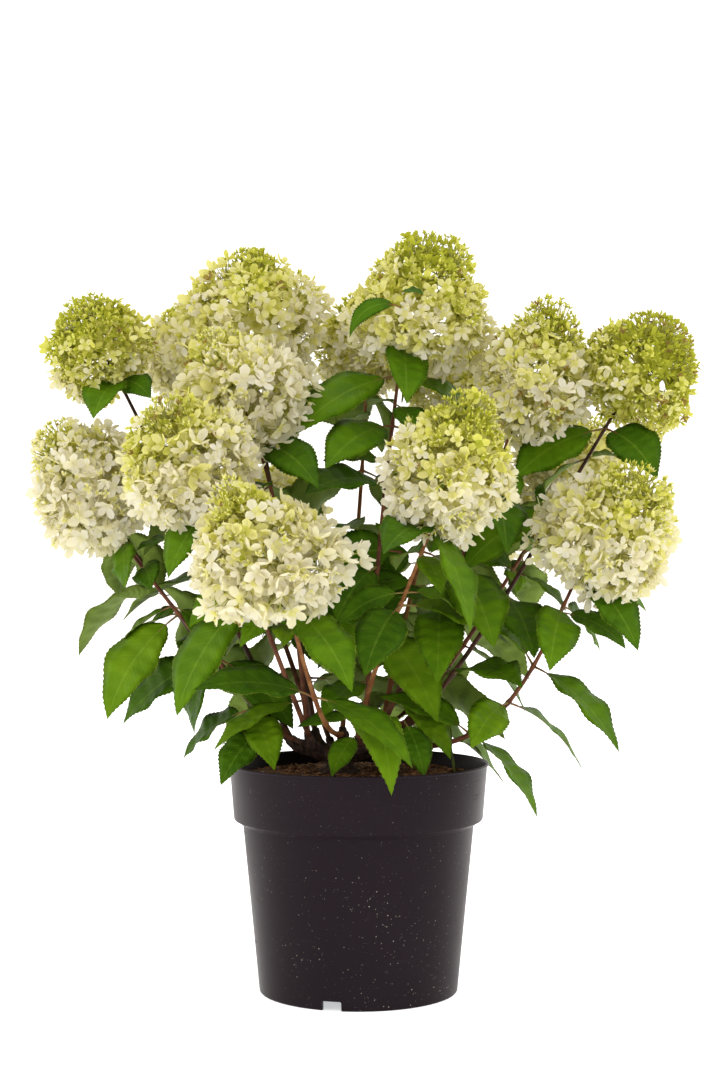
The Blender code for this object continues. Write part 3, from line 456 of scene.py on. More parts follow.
# Each cane: the flower head's centre, its half width and half height, and its lean (heading, degrees);
# then the heading and reach of the cane's spur on the crown, and how far the cane bows outwards.
# A node is its share of the cane and its leaves, each (heading, droop, size), some with their own arch.
# Headings turn from +X towards +Y, a droop is degrees under the level, and a size is in LEAF_LENGTHs.
CANES = {
    "top_centre": dict(
        centre=(0.048, 0.000, 0.638), half=(0.072, 0.066), lean=(350, 10), spur=(20, 0.026), bow=-0.05,
        nodes=((0.12, (266, 15, 0.7)), (0.25, (310, 37, 1.05), (130, 30, 0.8)), (0.38, (240, 35, 0.8)),
               (0.56, (228, 8, 0.95), (20, 25, 0.9)), (0.69, (233, 25, 0.95), (40, 30, 0.9)),
               (0.81, (207, 30, 1.1), (10, 30, 0.8)), (0.90, (271, 42, 0.85), (90, 40, 0.7)))),
    "upper_left": dict(
        centre=(-0.108, 0.085, 0.630), half=(0.078, 0.074), lean=(150, 6), spur=(139, 0.030), bow=0.0,
        nodes=pairs(150, 0.35, 0.60) + ((0.85, (345, 30, 0.8), (165, 40, 0.8)),)),
    "middle_left": dict(
        centre=(-0.110, -0.025, 0.549), half=(0.070, 0.064), lean=(200, 26), spur=(196, 0.030), bow=0.05,
        nodes=((0.12, (252, 35, 0.85)), (0.40, (170, 25, 0.9), (350, 25, 0.9)),
               (0.64, (80, 20, 0.9), (260, 30, 0.7)), (0.86, (304, 25, 0.95), (150, 30, 0.7)))),
    "front_left": dict(
        centre=(-0.147, -0.110, 0.485), half=(0.062, 0.062), lean=(210, 32), spur=(222, 0.036), bow=0.10,
        nodes=((0.57, (200, 58, 1.05), (20, 40, 0.9)), (0.86, (254, 44, 0.8), (80, 30, 0.8)))),
    "far_left": dict(
        centre=(-0.254, 0.020, 0.461), half=(0.058, 0.066), lean=(188, 34), spur=(186, 0.044), bow=0.10,
        nodes=((0.40, (164, 36, 1.0), (344, 30, 0.9)), (0.57, (203, 56, 1.05), (125, 22, 0.85)),
               (0.84, (280, 40, 0.6), (100, 40, 0.8)))),
    "far_left_top": dict(
        centre=(-0.249, 0.060, 0.602), half=(0.058, 0.050), lean=(178, 32), spur=(168, 0.046), bow=0.10,
        nodes=((0.40, (320, 30, 1.0), (140, 25, 0.9)), (0.66, (340, 30, 0.9)),
               (0.88, (260, 30, 0.8), (305, 20, 0.6)))),
    "front_low": dict(
        centre=(-0.073, -0.180, 0.407), half=(0.070, 0.060), lean=(235, 28), spur=(276, 0.030), bow=0.60,
        nodes=((0.43, (200, -3, 0.95), (316, 26, 1.05)), (0.82, (305, 37, 1.0), (205, 40, 0.5)))),
    "front_centre": dict(
        centre=(0.079, -0.150, 0.477), half=(0.056, 0.067), lean=(315, 22), spur=(314, 0.028), bow=-0.22,
        nodes=((0.55, (248, 36, 0.85), (68, 30, 1.0)), (0.84, (288, 46, 1.05), (242, 17, 0.85)))),
    "upper_right": dict(
        centre=(0.154, -0.025, 0.570), half=(0.057, 0.072), lean=(0, 12), spur=(344, 0.038), bow=0.0,
        nodes=((0.14, (279, 52, 0.7)), (0.41, (286, 31, 1.0), (80, 25, 1.0)),
               (0.50, (285, 34, 1.05), (60, 30, 1.0)), (0.73, (301, 32, 1.0), (120, 30, 0.9)))),
    "far_right_top": dict(
        centre=(0.260, -0.020, 0.570), half=(0.060, 0.054), lean=(352, 36), spur=(6, 0.050), bow=0.22,
        nodes=((0.23, (300, 5, 0.95), (120, 20, 0.9)), (0.42, (279, 27, 1.05), (99, 25, 1.0)),
               (0.62, (200, 35, 0.9), (20, 30, 0.8)), (0.82, (284, 33, 0.8), (222, 20, 0.9)))),
    "far_right": dict(
        centre=(0.216, -0.080, 0.424), half=(0.064, 0.064), lean=(325, 34), spur=(335, 0.052), bow=0.90,
        nodes=((0.25, (308, 38, 1.0), (160, -20, 0.8)), (0.42, (241, 26, 0.75), (36, 38, 0.95)),
               (0.56, (318, 39, 1.05), (138, -40, 0.8)), (0.76, (256, 34, 0.85), (55, 33, 0.7)),
               (0.87, (319, 37, 0.8), (21, 25, 0.8)))),
    "back_right_top": dict(
        centre=(0.100, 0.120, 0.566), half=(0.053, 0.053), lean=(40, 14), spur=(14, 0.040), bow=-0.05,
        nodes=((0.28, (126, 30, 0.9)), (0.50, (200, 35, 1.0), (20, 35, 1.0)),
               (0.78, (60, 45, 0.9), (240, 40, 0.9)))),
    "back_centre_top": dict(
        centre=(0.008, 0.140, 0.614), half=(0.052, 0.052), lean=(95, 14), spur=(84, 0.030), bow=0.0,
        nodes=((0.40, (279, 34, 0.8), (99, 30, 1.0)),) + pairs(20, 0.62, 0.85)),
    "back_left_top": dict(
        centre=(-0.172, 0.170, 0.606), half=(0.051, 0.051), lean=(125, 26), spur=(118, 0.046), bow=0.05,
        nodes=pairs(110, 0.36, 0.60, 0.85)),
    "back_right": dict(
        centre=(0.212, 0.135, 0.495), half=(0.052, 0.050), lean=(30, 26), spur=(26, 0.054), bow=0.10,
        nodes=((0.36, (120, 35, 1.0), (300, 30, 1.0)), (0.65, (291, 0, 0.85), (80, 40, 0.9)),
               (0.86, (0, 50, 0.8), (150, 45, 0.8)))),
    "back_left": dict(
        centre=(-0.256, 0.135, 0.462), half=(0.053, 0.050), lean=(155, 30), spur=(152, 0.054), bow=0.14,
        nodes=pairs(60, 0.40, 0.66) + ((0.86, (95, 50, 0.8), (330, 40, 0.7)),)),
    "back_centre_left": dict(
        centre=(-0.095, 0.190, 0.440), half=(0.058, 0.054), lean=(110, 34), spur=(100, 0.058), bow=0.10,
        nodes=pairs(150, 0.32, 0.58, 0.84)),
    "back_centre_right": dict(
        centre=(0.122, 0.185, 0.452), half=(0.060, 0.056), lean=(70, 30), spur=(64, 0.060), bow=0.10,
        nodes=pairs(100, 0.32, 0.58, 0.84)),
}

# Each leafy shoot without a flower: its tip, then its spur and its nodes, as for a cane.
SHOOTS = {
    "front": dict(
        tip=(-0.004, -0.060, 0.254), spur=(295, 0.048),
        nodes=((0.45, (300, 34, 0.85, 48), (235, 55, 0.45)), (0.95, (60, 15, 0.5), (200, 20, 0.5)))),
    "front_right": dict(
        tip=(0.042, -0.045, 0.252), spur=(318, 0.046),
        nodes=((0.55, (325, 22, 0.8), (140, 20, 0.6)), (0.97, (270, 50, 0.65), (292, 60, 0.55)))),
    "left": dict(
        tip=(-0.102, -0.012, 0.259), spur=(206, 0.044),
        nodes=((0.50, (232, 50, 0.7), (130, 20, 0.7)), (0.97, (280, 39, 0.7), (150, 35, 0.8)))),
    "back_right": dict(tip=(0.072, 0.060, 0.270), spur=(52, 0.046), nodes=pairs(5, 0.50, 0.95)),
}


def direction(heading, pitch):
    around, up = math.radians(heading), math.radians(pitch)
    return Vector((math.cos(around) * math.cos(up), math.sin(around) * math.cos(up), math.sin(up)))


def spur_tip(spur):
    """Where a spur ends: a far one lies low, a near one stands up."""
    heading, reach = spur
    return CROWN_CENTRE + direction(heading, 0) * reach + UP * (SPUR_RISE - SPUR_FALL * reach)


class Head:
    """The space of one flower head: an egg with its wide end down, on a leaning axis."""

    def __init__(self, centre, half, lean):
        self.centre = Vector(centre)
        self.width, self.height = half
        self.axis = direction(lean[0], 90 - lean[1])
        self.turn = self.axis.to_track_quat("Z", "Y").to_matrix()

    def spot(self, unit, scale):
        """The point in this direction from the centre, at a share of the way to the skin."""
        wide = self.width * (1 - HEAD_TAPER * unit.z) * scale
        local = Vector((unit.x * wide, unit.y * wide, unit.z * self.height * scale))
        return self.centre + self.turn @ local

    def depth(self, place):
        """Under 1 inside the head's skin, over 1 outside it."""
        local = self.turn.transposed() @ (place - self.centre)
        tall = max(-1.0, min(1.0, local.z / self.height))
        wide = self.width * (1 - HEAD_TAPER * tall)
        return math.sqrt((local.x / wide) ** 2 + (local.y / wide) ** 2 + (local.z / self.height) ** 2)


class Limb:
    """A curved cane or shoot: its line from the spur's tip, and its thickness along it."""

    def __init__(self, start, first, last, end, radius, tip_radius):
        self.ends, self.radius, self.tip_radius = (start, first, last, end), radius, tip_radius
        self.line = [self.smooth_at(k / CANE_STEPS) for k in range(CANE_STEPS + 1)]

    def smooth_at(self, share):
        a, b, c, d = self.ends
        rest = 1 - share
        early, late = 3 * rest * rest * share, 3 * rest * share * share
        return a * rest**3 + b * early + c * late + d * share**3

    def at(self, share):
        place = min(max(share, 0.0), 1.0) * CANE_STEPS
        k = min(int(place), CANE_STEPS - 1)
        return self.line[k].lerp(self.line[k + 1], place - k)

    def heading(self, share):
        step = 0.5 / CANE_STEPS
        return (self.at(share + step) - self.at(share - step)).normalized()

    def length(self):
        return sum((self.line[k + 1] - self.line[k]).length for k in range(CANE_STEPS))

    def thickness(self, share):
        return self.radius + (self.tip_radius - self.radius) * share

    def stretch(self, low, high, steps):
        """Points and radii from one share to another, with square ends."""
        shares = [low + (high - low) * k / steps for k in range(steps + 1)]
        points = [self.at(s) for s in shares]
        points.insert(1, points[0] + self.heading(low) * BUTT)
        points.insert(-1, points[-1] - self.heading(high) * BUTT)
        shares = [low] + shares[:-1] + [high, high]
        return points, [self.thickness(s) for s in shares]


class Stem:
    """One cane or shoot as laid out: its names, its limb, its head and how much of it is bare."""

    def __init__(self, name, row):
        self.flowers = "half" in row
        self.plain_name = name
        self.name = ("bloom_" if self.flowers else "shoot_") + name
        self.foot_name = "cane_" + name
        self.nodes = row["nodes"]
        self.start = spur_tip(row["spur"])
        if self.flowers:
            self.head = head = Head(row["centre"], row["half"], row["lean"])
            end = head.centre - head.axis * head.height * (1 - PEDUNCLE_DEPTH)
            foot = head.centre - head.axis * head.height * PEDUNCLE_FOOT
            out, bow = 0.30 + 0.6 * row["bow"], 0.36 - 0.6 * row["bow"]
            level = Vector((foot.x - self.start.x, foot.y - self.start.y, 0))
            first = self.start + level * out + UP * (foot.z - self.start.z) * bow
            self.limb = Limb(self.start, first, foot, end, CANE_RADIUS, CANE_TIP_RADIUS)
        else:
            self.head, end = None, Vector(row["tip"])
            first = self.start.lerp(end, 0.4) - UP * 0.006
            last = end.lerp(self.start, 0.3) + UP * 0.004
            self.limb = Limb(self.start, first, last, end, SHOOT_RADIUS, SHOOT_TIP_RADIUS)
        first_leaves = row["nodes"][0][0]
        self.bare = first_leaves - FIRST_LEAF_ROOM / self.limb.length() if self.flowers else 0.0


def units_of(rows):
    """Each row of three over its own length."""
    return rows / np.linalg.norm(rows, axis=1)[:, None]


def tube_rings(points, radii, sides):
    """Rings of points round a line, with their frames carried along so that nothing wrings."""
    points = np.asarray([tuple(p) for p in points])
    ways = units_of(np.gradient(points, axis=0))
    angles = np.linspace(0, math.tau, sides, endpoint=False)
    across = np.array(Vector(ways[0]).orthogonal().normalized())
    rings = []
    for place, way, radius in zip(points, ways, radii):
        across = across - way * across.dot(way)
        across /= np.linalg.norm(across)
        along = np.cross(way, across)
        ring = np.outer(np.cos(angles), across) + np.outer(np.sin(angles), along)
        rings.append(place + ring * np.asarray(radius).reshape(-1, 1))
    return np.array(rings)


def ring_faces(count, sides, start=0):
    """Quads between each ring and the next, with a cap at either end."""
    faces = [tuple(start + i for i in range(sides))[::-1]]
    for k in range(count - 1):
        low, high = start + k * sides, start + (k + 1) * sides
        around = [(i, (i + 1) % sides) for i in range(sides)]
        faces += [(low + i, low + j, high + j, high + i) for i, j in around]
    faces.append(tuple(start + (count - 1) * sides + i for i in range(sides)))
    return faces


stems = [Stem(name, row) for rows in (CANES, SHOOTS) for name, row in rows.items()]
crown = draw_rings("woody_crown", CROWN_SIDES, CROWN_RINGS)
x, y, z = CROWN_CENTRE
for vert in crown.data.vertices:
    vert.co += Vector((x + CROWN_TILT[0] * vert.co.z, y + CROWN_TILT[1] * vert.co.z, z))
foot = CROWN_CENTRE + UP * SPUR_FOOT_HEIGHT
spur_points, spur_faces = [], []
for stem in stems:
    way = stem.limb.heading(0)
    tip = stem.start + way * 0.001
    away = Vector((tip.x - foot.x, tip.y - foot.y, 0)).normalized()
    knee = tip - way * SPUR_KNEE
    start = foot + away * SPUR_FOOT_REACH
    line = [start, start.lerp(knee, 0.5) + away * 0.001, knee, tip]
    thin = stem.limb.radius / CANE_RADIUS
    rings = tube_rings(line, [r * thin for r in SPUR_RADII], SPUR_SIDES)
    spur_faces += ring_faces(len(line), SPUR_SIDES, len(spur_points))
    spur_points += [tuple(p) for p in rings.reshape(-1, 3)]
spurs = joined("spurs", spur_points, spur_faces, [])
pick(spurs, crown)
bpy.ops.object.join()
apply_modifier(crown, "REMESH", mode="VOXEL", voxel_size=BARK_VOXEL)
bark_furrows = bpy.data.textures.new("bark furrows", "CLOUDS")
bark_furrows.noise_scale = FURROW_SIZE
bark_furrows.noise_depth = 4
apply_modifier(
    crown, "DISPLACE", texture=bark_furrows, texture_coords="LOCAL",
    strength=FURROW_DEPTH, mid_level=0.55)
shade_smooth(crown, 70)
old_wood, place = new_finish("old wood", OLD_WOOD[0], 0.9, Specular_IOR_Level=0.25)
furrows = place.stretched(1, 1, 0.35).noise(240.0, 5.0)
feed(old_wood, "Base Color", furrows.step(0.40, 0.68).tint(*OLD_WOOD))
relief(old_wood, furrows, 0.0012, 0.9)
crown.data.materials.append(old_wood)
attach(crown, "root")
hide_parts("crown")


# ---------------------------------------------------------------- canes
# This season's wood: slim round canes with a swollen node every few centimetres, and thin bark, tan-red
# on the young ones and dark brown on the old. Each runs unbroken from its spur into its flower head.

RING_STEP = 0.0035
CANE_SIDES = 10
NODE_SPACE = 0.045  # between the nodes of a bare cane
NODE_LENGTH = 0.0030
NODE_SWELL = 0.34
LOWEST_SCAR = 0.04  # a share of the cane
RIB_DEPTHS = (0.035, 0.02)
BARKS = (
    ((0.150, 0.053, 0.018, 1), (0.240, 0.108, 0.040, 1)),
    ((0.066, 0.021, 0.012, 1), (0.150, 0.055, 0.029, 1)),
    ((0.027, 0.012, 0.009, 1), (0.075, 0.032, 0.021, 1)),
)
BARK_OF = {
    "front_low": 0, "front_centre": 0, "far_left": 1,
    "front_left": 1, "far_right_top": 2, "far_left_top": 2,
}


def node_shares(stem):
    """Where the cane is swollen: at its leaves, and at old scars down the bare foot."""
    shares = [node[0] for node in stem.nodes]
    low, step = shares[0], NODE_SPACE / stem.limb.length()
    while low - step > LOWEST_SCAR:
        low -= step
        shares.append(low)
    return shares


cane_points, cane_faces, cane_slots, cane_uv = [], [], [], []
growth = random.Random("canes")
for stem in stems:
    length = stem.limb.length()
    count = int(length / RING_STEP)
    shares = np.linspace(0, 1, count)
    curve = np.array([tuple(stem.limb.smooth_at(s)) for s in shares])
    chord = np.array([tuple(stem.limb.at(s)) for s in shares])
    swell = sum(np.exp(-(((shares - s) * length / NODE_LENGTH) ** 2)) for s in node_shares(stem))
    radii = CANE_SLIMMING * stem.limb.thickness(shares)
    start_turn = growth.uniform(0, math.tau)
    around = np.linspace(0, math.tau, CANE_SIDES, endpoint=False)
    ribs = 1 + RIB_DEPTHS[0] * np.sin(3 * around[None] + start_turn)
    ribs = ribs + RIB_DEPTHS[1] * np.sin(5 * around[None] + shares[:, None] * 9)
    radii = radii[:, None] * (1 + NODE_SWELL * swell[:, None]) * ribs
    rings = tube_rings(curve * 0.5 + chord * 0.5, radii, CANE_SIDES)
    cane_faces += ring_faces(count, CANE_SIDES, len(cane_points))
    cane_points += [tuple(p) for p in rings.reshape(-1, 3)]
    across = [abs(2 * i / CANE_SIDES - 1) for i in range(CANE_SIDES)]
    cane_uv += [(u, share * length * 10) for share in shares for u in across]
    bark = BARK_OF.get(stem.plain_name, growth.choice((0, 1, 1, 2))) if stem.flowers else 1
    cane_slots += [bark] * ((count - 1) * CANE_SIDES + 2)
barks = []
for k, (dark, light) in enumerate(BARKS):
    finish, place = new_finish(
        f"cane bark {k + 1}", dark, 0.5, Specular_IOR_Level=0.2, Specular_Tint=(1.0, 0.75, 0.55, 1))
    wrapped = place.node("UVMap", {"uv_map": "uv"}, {})
    streaks = wrapped.stretched(9, 5, 1).noise(1.0, 4.0)
    pores = place.grains(900.0).step(0.30, 0.18)
    mottle = place.noise(70.0, 3.0).step(0.35, 0.70)
    bare = (streaks * 0.6 + mottle * 0.4).step(0.30, 0.62).tint(dark, light)
    feed(finish, "Base Color", (pores * place.noise(200.0).step(0.5, 0.6) * 0.6).tint(bare, light))
    feed(finish, "Roughness", mottle * 0.2 + 0.42)
    relief(finish, streaks + pores * 0.4, 0.0004, 0.6)
    barks.append(finish)
canes = joined("canes", cane_points, cane_faces, barks, cane_slots, cane_uv)
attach(canes, "root")
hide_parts(*[stem.foot_name for stem in stems if stem.bare > 0])


# ---------------------------------------------------------------- leaves
# Thin green blades on short stalks, in opposite pairs: oval, drawn out to a point, finely toothed,
# creased along the midrib and quilted between the side veins. Smaller ones fill in between the pairs.

SEED = 7
SHRUB_MIDDLE = Vector((0, 0.05, 0))
SHRUB_WIDE = 0.30
SHRUB_DEEP = 0.16
LEAF_LENGTH = 0.118
LEAF_SHAPE = 0.44
LEAF_SPREAD = 0.05
LEAF_ROLL = 14
LEAF_ARCH = 20
LEAF_FOLD = 0.22
LEAF_STEPS = 12
LEAF_FACING = 0.75
LEAF_THICKNESS = 0.0014
PETIOLE_SHARE = 0.13
PETIOLE_RADIUS = 0.0013
LEAF_STATIONS = (0.0, 0.13, 0.36, 0.68)
LEAF_CLEARANCE = 0.0007
# A leaf that has no room as it grows is turned and let down by each of these in turn, until it has.
LEAF_TRIES = ((0, 0), (14, 0), (-14, 0), (0, 12), (0, -12), (28, 6), (-28, 6), (40, -10), (-40, -10),
              (20, 20), (-20, 20), (56, 0), (-56, 0))
# The room of a flower head: its core, and the largest florets round it. Leaves keep clear of both.
HEAD_CORE = 0.74
HEAD_MARGIN = 0.93
CORE_SIDES = 9
CORE_RINGS = 5
FLORETS = 16
FLORET_RADIUS = 0.0215
FLORET_HEAD_WIDTH = 0.065
FLORET_SHRINK = 0.25
FLORET_SPREAD = 0.10
FLORET_DISH = 0.12
FLORET_CLEARANCE = 1.03
LOWEST_FLORET = -0.80
STALK_DEPTH = 0.88
GOLDEN_ANGLE = math.pi * (3 - math.sqrt(5))


def loft(rings, tip=None):
    """Points and faces of a closed skin over rings of equal count, ending in a cap or in one point."""
    sides = len(rings[0])
    points = [p for ring in rings for p in ring]
    faces = ring_faces(len(rings), sides)
    if tip is not None:
        last = (len(rings) - 1) * sides
        points.append(tip)
        faces[-1:] = [(last + i, last + (i + 1) % sides, len(points) - 1) for i in range(sides)]
    return points, faces


def ring_tube(points, radii, sides=6):
    """Points and faces of a plain tube, for testing room only."""
    rings, last = [], len(points) - 1
    angles = [2 * math.pi * i / sides for i in range(sides)]
    for k, (place, radius) in enumerate(zip(points, radii)):
        way = (points[min(k + 1, last)] - points[max(k - 1, 0)]).normalized()
        across = way.orthogonal().normalized()
        along = way.cross(across)
        rings.append([place + (across * math.cos(a) + along * math.sin(a)) * radius for a in angles])
    return loft(rings)


def outward(place):
    """Level direction straight out of the shrub, which is wider than it is deep."""
    away = place - SHRUB_MIDDLE
    return Vector((away.x / SHRUB_WIDE**2, away.y / SHRUB_DEEP**2, 0)).normalized()


def leaf_width(share):
    """Half the blade's width at a share of the leaf, over half its full width. The stalk has none."""
    blade = (share - PETIOLE_SHARE) / (1 - PETIOLE_SHARE)
    if blade <= 0:
        return 0.0
    return math.sin(math.pi * blade**0.80) ** 0.85


def leaf_line(foot, heading, droop, arch, length):
    """Points and directions along a leaf's midrib, which arches over under its own weight."""
    place, line = foot.copy(), []
    for k in range(LEAF_STEPS + 1):
        way = direction(heading, -droop + arch * (1 - 2 * k / LEAF_STEPS))
        line.append((place.copy(), way))
        place = place + way * (length / LEAF_STEPS)
    return line


def upper_way(foot, way, roll):
    """The way that the upper side of a leaf faces, where its midrib runs this way."""
    facing = (outward(foot) * LEAF_FACING + UP).normalized()
    upper = (facing - way * facing.dot(way)).normalized()
    upper.rotate(Matrix.Rotation(math.radians(roll), 3, way))
    return upper


def leaf_room(foot, heading, droop, arch, length, roll):
    """Points and faces of the room that one leaf takes up."""
    line, grow = leaf_line(foot, heading, droop, arch, length), LEAF_CLEARANCE
    rings = []
    for share in LEAF_STATIONS:
        place, way = line[round(share * LEAF_STEPS)]
        upper = upper_way(foot, way, roll)
        side = way.cross(upper)
        wide = max(length * LEAF_SHAPE / 2 * leaf_width(share), PETIOLE_RADIUS) + grow
        blade = share > PETIOLE_SHARE
        lift = upper * (wide * LEAF_FOLD if blade else 0)
        above = grow if blade else PETIOLE_RADIUS * 0.8 + grow
        under = (LEAF_THICKNESS if blade else PETIOLE_RADIUS * 1.6) + grow
        rings.append([
            place + upper * above,
            place + side * wide + lift,
            place - upper * under,
            place - side * wide + lift,
        ])
    tip, way = line[-1]
    return loft(rings, tip + way * grow)


def round_cage(sides, rings):
    """Directions and faces of a plain ball of rings between two poles."""
    points, turns = [Vector((0, 0, 1))], [math.tau * i / sides for i in range(sides)]
    for k in range(1, rings):
        tall, wide = math.cos(math.pi * k / rings), math.sin(math.pi * k / rings)
        points += [Vector((wide * math.cos(a), wide * math.sin(a), tall)) for a in turns]
    points.append(Vector((0, 0, -1)))
    around = [(i, (i + 1) % sides) for i in range(sides)]
    faces = [(0, 1 + i, 1 + j) for i, j in around]
    for k in range(rings - 2):
        low, high = 1 + k * sides, 1 + (k + 1) * sides
        faces += [(low + i, high + i, high + j, low + j) for i, j in around]
    last, low = len(points) - 1, 1 + (rings - 2) * sides
    faces += [(low + i, last, low + j) for i, j in around]
    return points, faces


def floret_room(head, unit, radius, turn):
    """Points and faces of the room that one flat floret takes up over a flower head."""
    across = unit.orthogonal().normalized()
    across.rotate(Matrix.Rotation(turn, 3, unit))
    along = unit.cross(across)
    spread = radius * FLORET_CLEARANCE / head.width
    cage, faces = round_cage(4, 2)
    points = []
    for corner in cage:
        if corner.z > 0.5:
            points.append(head.spot(unit, (1 - FLORET_DISH) * FLORET_CLEARANCE))
        elif corner.z < -0.5:
            points.append(head.spot(unit, HEAD_CORE * STALK_DEPTH))
        else:
            tip = unit + (across * corner.x + along * corner.y) * spread
            points.append(head.spot(tip.normalized(), FLORET_CLEARANCE))
    return points, faces


class Standing:
    """What already stands, by owner, so that nothing new touches it."""

    def __init__(self):
        self.trees = []

    def add(self, owner, points, faces):
        self.trees.append((owner, BVHTree.FromPolygons(points, faces)))

    def clear_of(self, owner, points, faces):
        tree = BVHTree.FromPolygons(points, faces)
        return not any(other != owner and tree.overlap(built) for other, built in self.trees)


standing = Standing()
for name in ("pot", "potting_soil", "crown"):
    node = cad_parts[name].data
    standing.add(name, [v.co for v in node.vertices], [tuple(p.vertices) for p in node.polygons])
for stem in stems:
    for owner, low, high in ((stem.foot_name, 0, stem.bare), (stem.name, stem.bare, 1)):
        if high > low:
            points, radii = stem.limb.stretch(low, high, CANE_STEPS)
            standing.add(owner, *ring_tube(points, [radius + LEAF_CLEARANCE for radius in radii]))
    if stem.flowers:
        cage, faces = round_cage(CORE_SIDES, CORE_RINGS)
        standing.add(stem.name, [stem.head.spot(unit, HEAD_CORE) for unit in cage], faces)
heads = {stem.name: stem.head for stem in stems if stem.flowers}
for name, head in heads.items():
    chance = random.Random(f"{SEED} florets {name}")
    for k in range(FLORETS):
        tall = 1 - (2 * k + 1) / FLORETS
        if tall < LOWEST_FLORET:
            continue
        around, wide = k * GOLDEN_ANGLE, math.sqrt(1 - tall * tall)
        unit = Vector((wide * math.cos(around), wide * math.sin(around), tall))
        size = head.width / FLORET_HEAD_WIDTH * (1 - FLORET_SHRINK * tall)
        radius = FLORET_RADIUS * size * (1 + chance.uniform(-FLORET_SPREAD, FLORET_SPREAD))
        room = floret_room(head, unit, radius, chance.uniform(0, math.pi / 2))
        if standing.clear_of(name, *room):
            standing.add(name, *room)


def leaf_fits(owner, leaf, margin=HEAD_MARGIN):
    """True where the leaf stays out of every flower head, limb and leaf of another stem."""
    points, faces = leaf_room(*leaf)
    for name, head in heads.items():
        least = HEAD_CORE if name == owner else margin
        if any(head.depth(place) < least for place in points[8:]):
            return False
    return standing.clear_of(owner, points, faces)


leaves = []
for stem in stems:
    chance = random.Random(f"{SEED} leaves {stem.name}")
    for share, *pair in stem.nodes:
        for heading, droop, size, *own_arch in pair:
            arch = own_arch[0] if own_arch else LEAF_ARCH
            length = LEAF_LENGTH * size * (1 + chance.uniform(-LEAF_SPREAD, LEAF_SPREAD))
            roll = chance.uniform(-LEAF_ROLL, LEAF_ROLL)
            for turn, fall in LEAF_TRIES:
                leaf = stem.limb.at(share), heading + turn, droop + fall, arch, length, roll
                if leaf_fits(stem.name, leaf):
                    standing.add(stem.name, *leaf_room(*leaf))
                    leaves.append(leaf)
                    break

pair_count = len(leaves)
FILL_SHARES = (0.30, 0.47, 0.60, 0.74, 0.93)
FILL_SHARES_OF_SHOOT = (0.30, 0.75)
FILL_SIZES = (0.40, 0.68)
FILL_SWING = 15  # give or take, round the cane
FILL_ROLL = 20
FILL_DROOPS = (0, 45)
FILL_ARCH = 24
FILL_TRIES = LEAF_TRIES[:7]
FILL_MARGIN = 0.98
FILL_ROOM = 0.004  # from the box of the whole shrub
LOWEST_LEAF = 0.165
OPEN_BELOW, OPEN_BEFORE = 0.33, 0.02  # no small leaves here, in front, where the canes show
FOOT_POINTS = 9  # of a leaf's room, which touch its own cane
box_low, box_high = Vector(cad_box[0]), Vector(cad_box[1])
for stem in stems:
    chance = random.Random(f"{SEED} small leaves {stem.name}")
    turned = chance.uniform(0, 360)
    for share in FILL_SHARES if stem.flowers else FILL_SHARES_OF_SHOOT:
        turned += 90 + chance.uniform(-FILL_SWING, FILL_SWING)
        foot = stem.limb.at(share)
        if foot.z < OPEN_BELOW and foot.y < OPEN_BEFORE:
            continue
        for heading in (turned, turned + 180):
            length = LEAF_LENGTH * chance.uniform(*FILL_SIZES) * (0.75 if share > 0.9 else 1.0)
            roll, droop = chance.uniform(-FILL_ROLL, FILL_ROLL), chance.uniform(*FILL_DROOPS)
            for turn, fall in FILL_TRIES:
                leaf = foot, heading + turn, droop + fall, FILL_ARCH, length, roll
                points, faces = leaf_room(*leaf)
                inside = all(
                    box_low[i] + FILL_ROOM < place[i] < box_high[i] - FILL_ROOM
                    for place in points for i in range(3)
                ) and min(place.z for place in points) > LOWEST_LEAF
                outer = [
                    tuple(i - FOOT_POINTS for i in face) for face in faces if min(face) >= FOOT_POINTS
                ]
                if inside and leaf_fits(stem.name, leaf, FILL_MARGIN) and standing.clear_of(
                    "", points[FOOT_POINTS:], outer
                ):
                    standing.add(stem.name, points, faces)
                    leaves.append(leaf)
                    break

# Leaves that hang otherwise than most, each by its number in the order of growth: more heading, more
# droop, more roll and its width, and for the one over the pot's rim its arch and length.
OWN_WAYS = {
    1: (0, 20, 0, 0.85), 8: (-27, -6, 0, 0.92), 18: (0, 0, 25, 0.75), 23: (0, 0, 0, 0.78),
    26: (0, 0, 0, 0.85), 31: (0, 0, -45, 1.0), 38: (0, 0, -50, 1.0), 41: (0, 0, -30, 0.68),
    42: (0, 0, 0, 0.85), 46: (0, 0, -38, 0.75), 49: (0, -14, 0, 0.85), 61: (0, 0, 45, 1.05),
    62: (-67, 20, -10, 1.1), 63: (0, 0, -42, 0.80), 66: (0, 0, -6, 0.65), 67: (0, 0, 0, 0.70),
    74: (0, -12, -60, 1.0), 112: (-30, -10, 0, 0.62, 58, 0.150),
}
USUAL_WAY = (0, 0, 0, 0.95)
# Leaves that stand in the shade of the heads take the darkest green: painted shade.
PAINTED_SHADE_LEAVES = (3, 4, 12, 20, 23, 57, 73, 74, 84, 88, 95, 103, 106, 108, 111)
